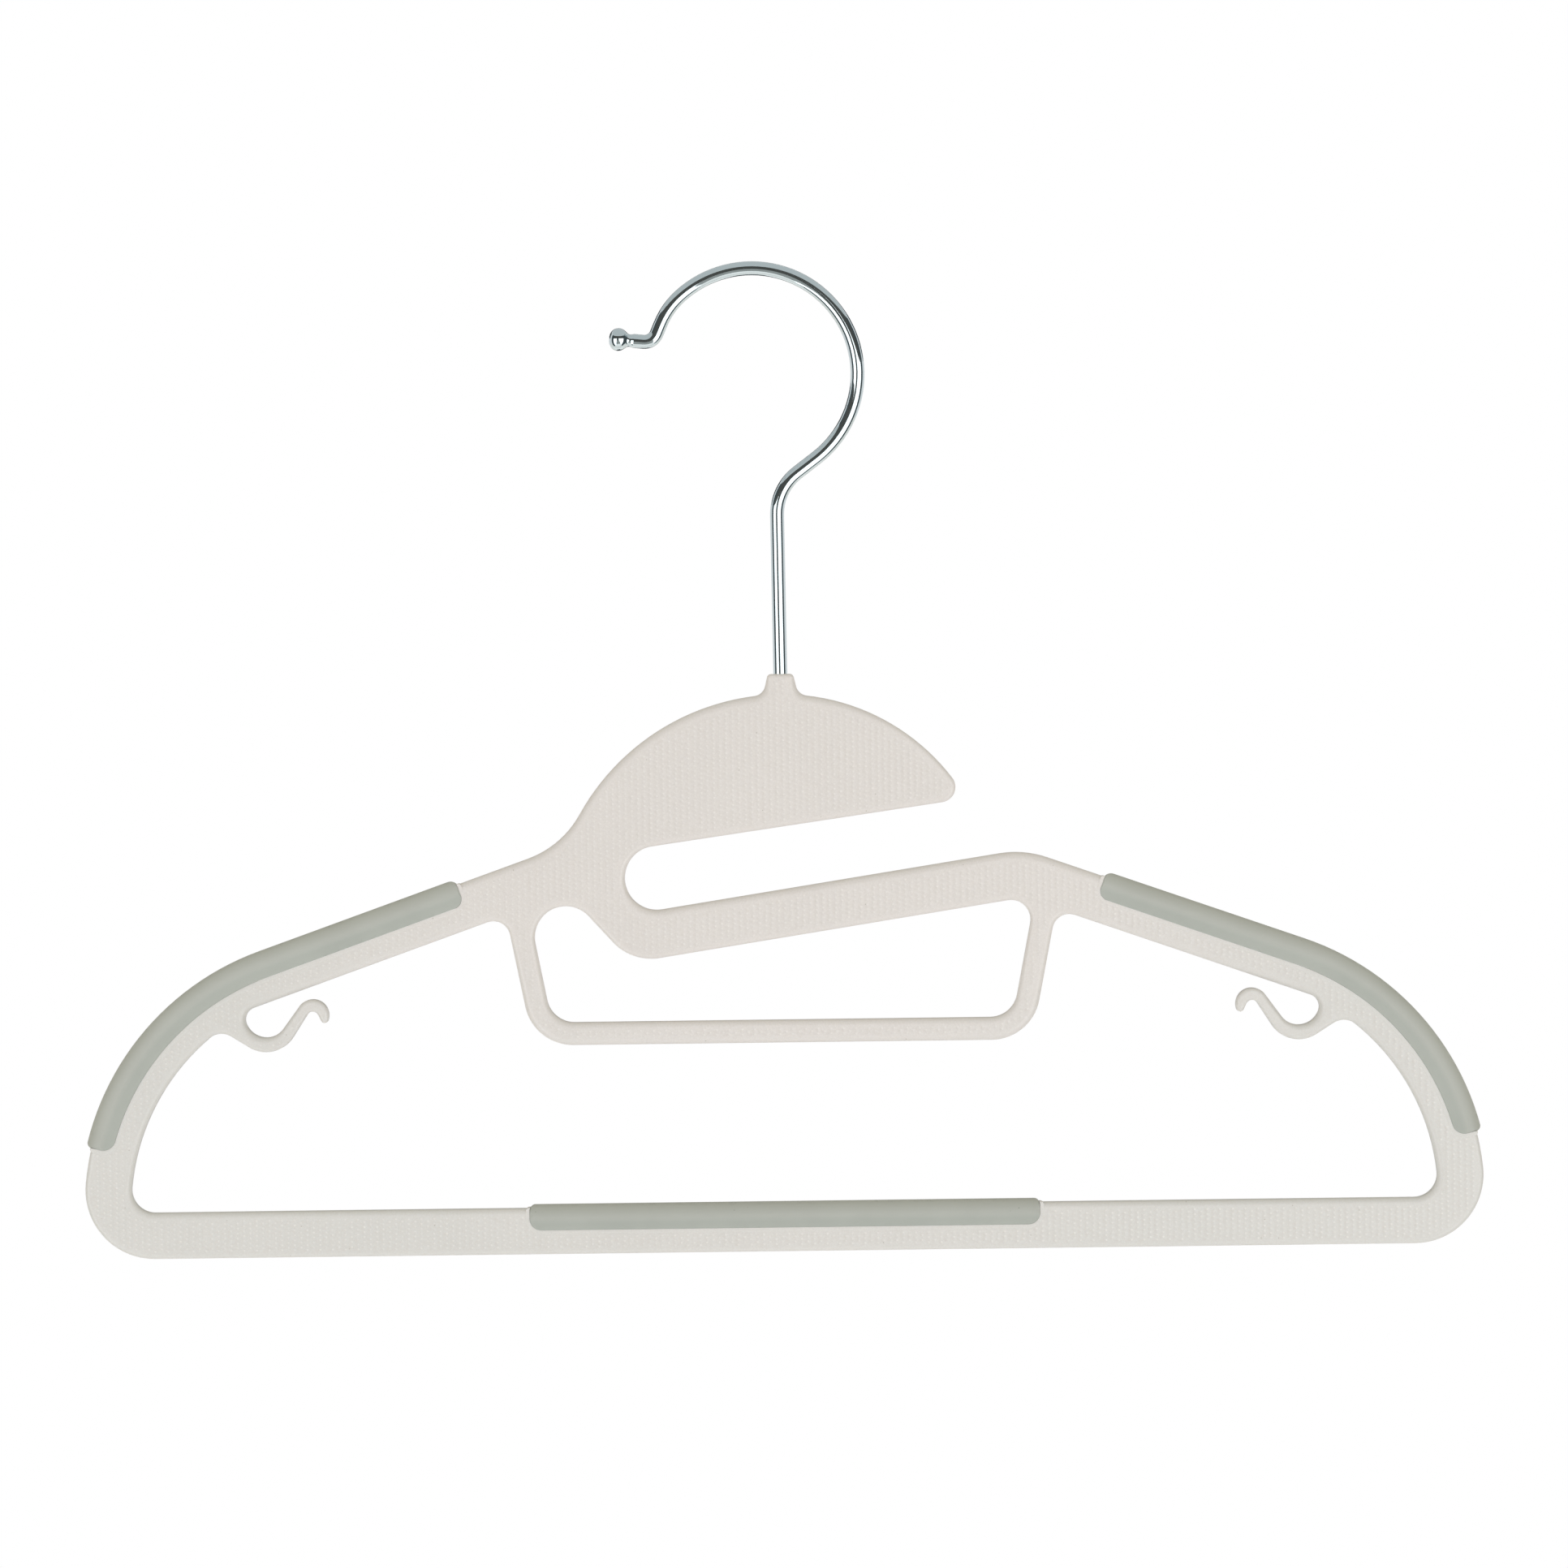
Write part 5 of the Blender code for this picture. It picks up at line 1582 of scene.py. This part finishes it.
# %% Cards
CARD_DISTANCE = 0.8
CARD_STEPS = 12
DARK = "#5A5A57"
GREY = "#B0B2AF"
SIDE_DARK = "#50585A"
CEILING = "#DCE0E0"
CARDS = [
    ("right_white", (8, -10), (61, -10), (61, 9), (3, 9), WHITE, 2.4),
    ("right_white_low", (36, -45), (61, -52), (61, -10), (8, -10), WHITE, 2.4),
    ("left_white", (-61, -10), (-22, -10), (-20, 9), (-61, 9), WHITE, 2.4),
    ("left_white_low", (-61, -57), (-38, -50), (-22, -10), (-61, -10), WHITE, 2.4),
    ("front_dark", (-22, -10), (8, -10), (3, 9), (-20, 9), DARK, 1.0),
    ("front_low", (-38, -50), (36, -45), (8, -10), (-22, -10), GREY, 1.0),
    ("front_brow", (-61, 9), (61, 9), (61, 34), (-61, 34), DARK, 1.0),
    ("left_dark", (-94, -55), (-61, -55), (-61, 34), (-94, 34), SIDE_DARK, 1.0),
    ("right_dark", (61, -55), (94, -55), (94, 34), (61, 34), SIDE_DARK, 1.0),
    ("ceiling", (-180, 34), (180, 34), (180, 90), (-180, 90), CEILING, 1.0),
    ("back_dark", (168, -55), (192, -55), (192, 9), (168, 9), SIDE_DARK, 1.0),
    ("back_brow", (119, 9), (241, 9), (241, 30), (119, 30), SIDE_DARK, 1.0),
]


def make_card(name, low_left, low_right, high_right, high_left, colour, strength):
    """A patch of a sphere round the hook that glows in one colour, seen in mirrors only."""
    middle = Vector((0.0, 0.0, BOSS_TOP / 2))
    count = CARD_STEPS + 1
    vertices = []
    for up in np.linspace(0.0, 1.0, count):
        left = np.array(low_left) + up * np.subtract(high_left, low_left)
        right = np.array(low_right) + up * np.subtract(high_right, low_right)
        for azimuth, elevation in np.radians(np.linspace(left, right, count)):
            vertices.append(middle + CARD_DISTANCE * towards(azimuth, elevation))
    corners = [row * count + column for row in range(CARD_STEPS) for column in range(CARD_STEPS)]
    card = mesh_object(name, vertices, [(a, a + 1, a + count + 1, a + count) for a in corners])
    material, tree = new_material(name)
    glow = node(tree, "ShaderNodeEmission", {"Color": linear(colour), "Strength": strength})
    node(tree, "ShaderNodeOutputMaterial", {"Surface": glow.outputs["Emission"]})
    card.data.materials.append(material)
    for ray in ("camera", "diffuse", "transmission", "shadow"):
        setattr(card, f"visible_{ray}", False)
    card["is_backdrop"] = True


for card in CARDS:
    make_card(*card)
print(f"{len(CARDS)} cards round the hook")

# %% [markdown]
# ## The camera
# The photograph is taken straight from the front with a long lens, so the outlines hardly converge.
# It is turned by less than a degree, which shows as a slight slope of the bar. The distance follows
# from the lens, its film's width and the width of the view at the hanger.

# %% Camera
VIEW_WIDTH = 359.2 * MM
VIEW_CENTRE = (0.53 * MM, 0.0, -115.9 * MM)
CAMERA_ROLL = 0.72
LENS = 200.0
FILM_WIDTH = 36.0
FAR_CLIP = 100.0


def make_camera(distance):
    data = bpy.data.cameras.new("camera")
    data.lens = LENS
    data.sensor_width = FILM_WIDTH
    data.clip_end = FAR_CLIP
    camera = bpy.data.objects.new("camera", data)
    roll = Matrix.Rotation(radians(CAMERA_ROLL), 4, "Y")
    stand = Matrix.Translation((0.0, -distance, 0.0)) @ Matrix.Rotation(radians(90.0), 4, "X")
    camera.matrix_world = Matrix.Translation(VIEW_CENTRE) @ roll @ stand
    bpy.context.scene.collection.objects.link(camera)
    bpy.context.scene.camera = camera


camera_distance = VIEW_WIDTH * LENS / FILM_WIDTH
make_camera(camera_distance)
print(f"the camera stands {camera_distance:.3f} m in front of the hanger")

# %% [markdown]
# ## Check the size
# The visible pieces have to fill the same box as the imported model. The two boxes are compared, and
# the largest distance between their corners is printed.

# %% Compare the boxes
visual_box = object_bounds()
growth = [max(abs(a - b) for a, b in zip(cad, seen)) / MM for cad, seen in zip(cad_box, visual_box)]
print(f"the visible model's corners lie within {max(growth):.2f} mm of the packed model's")
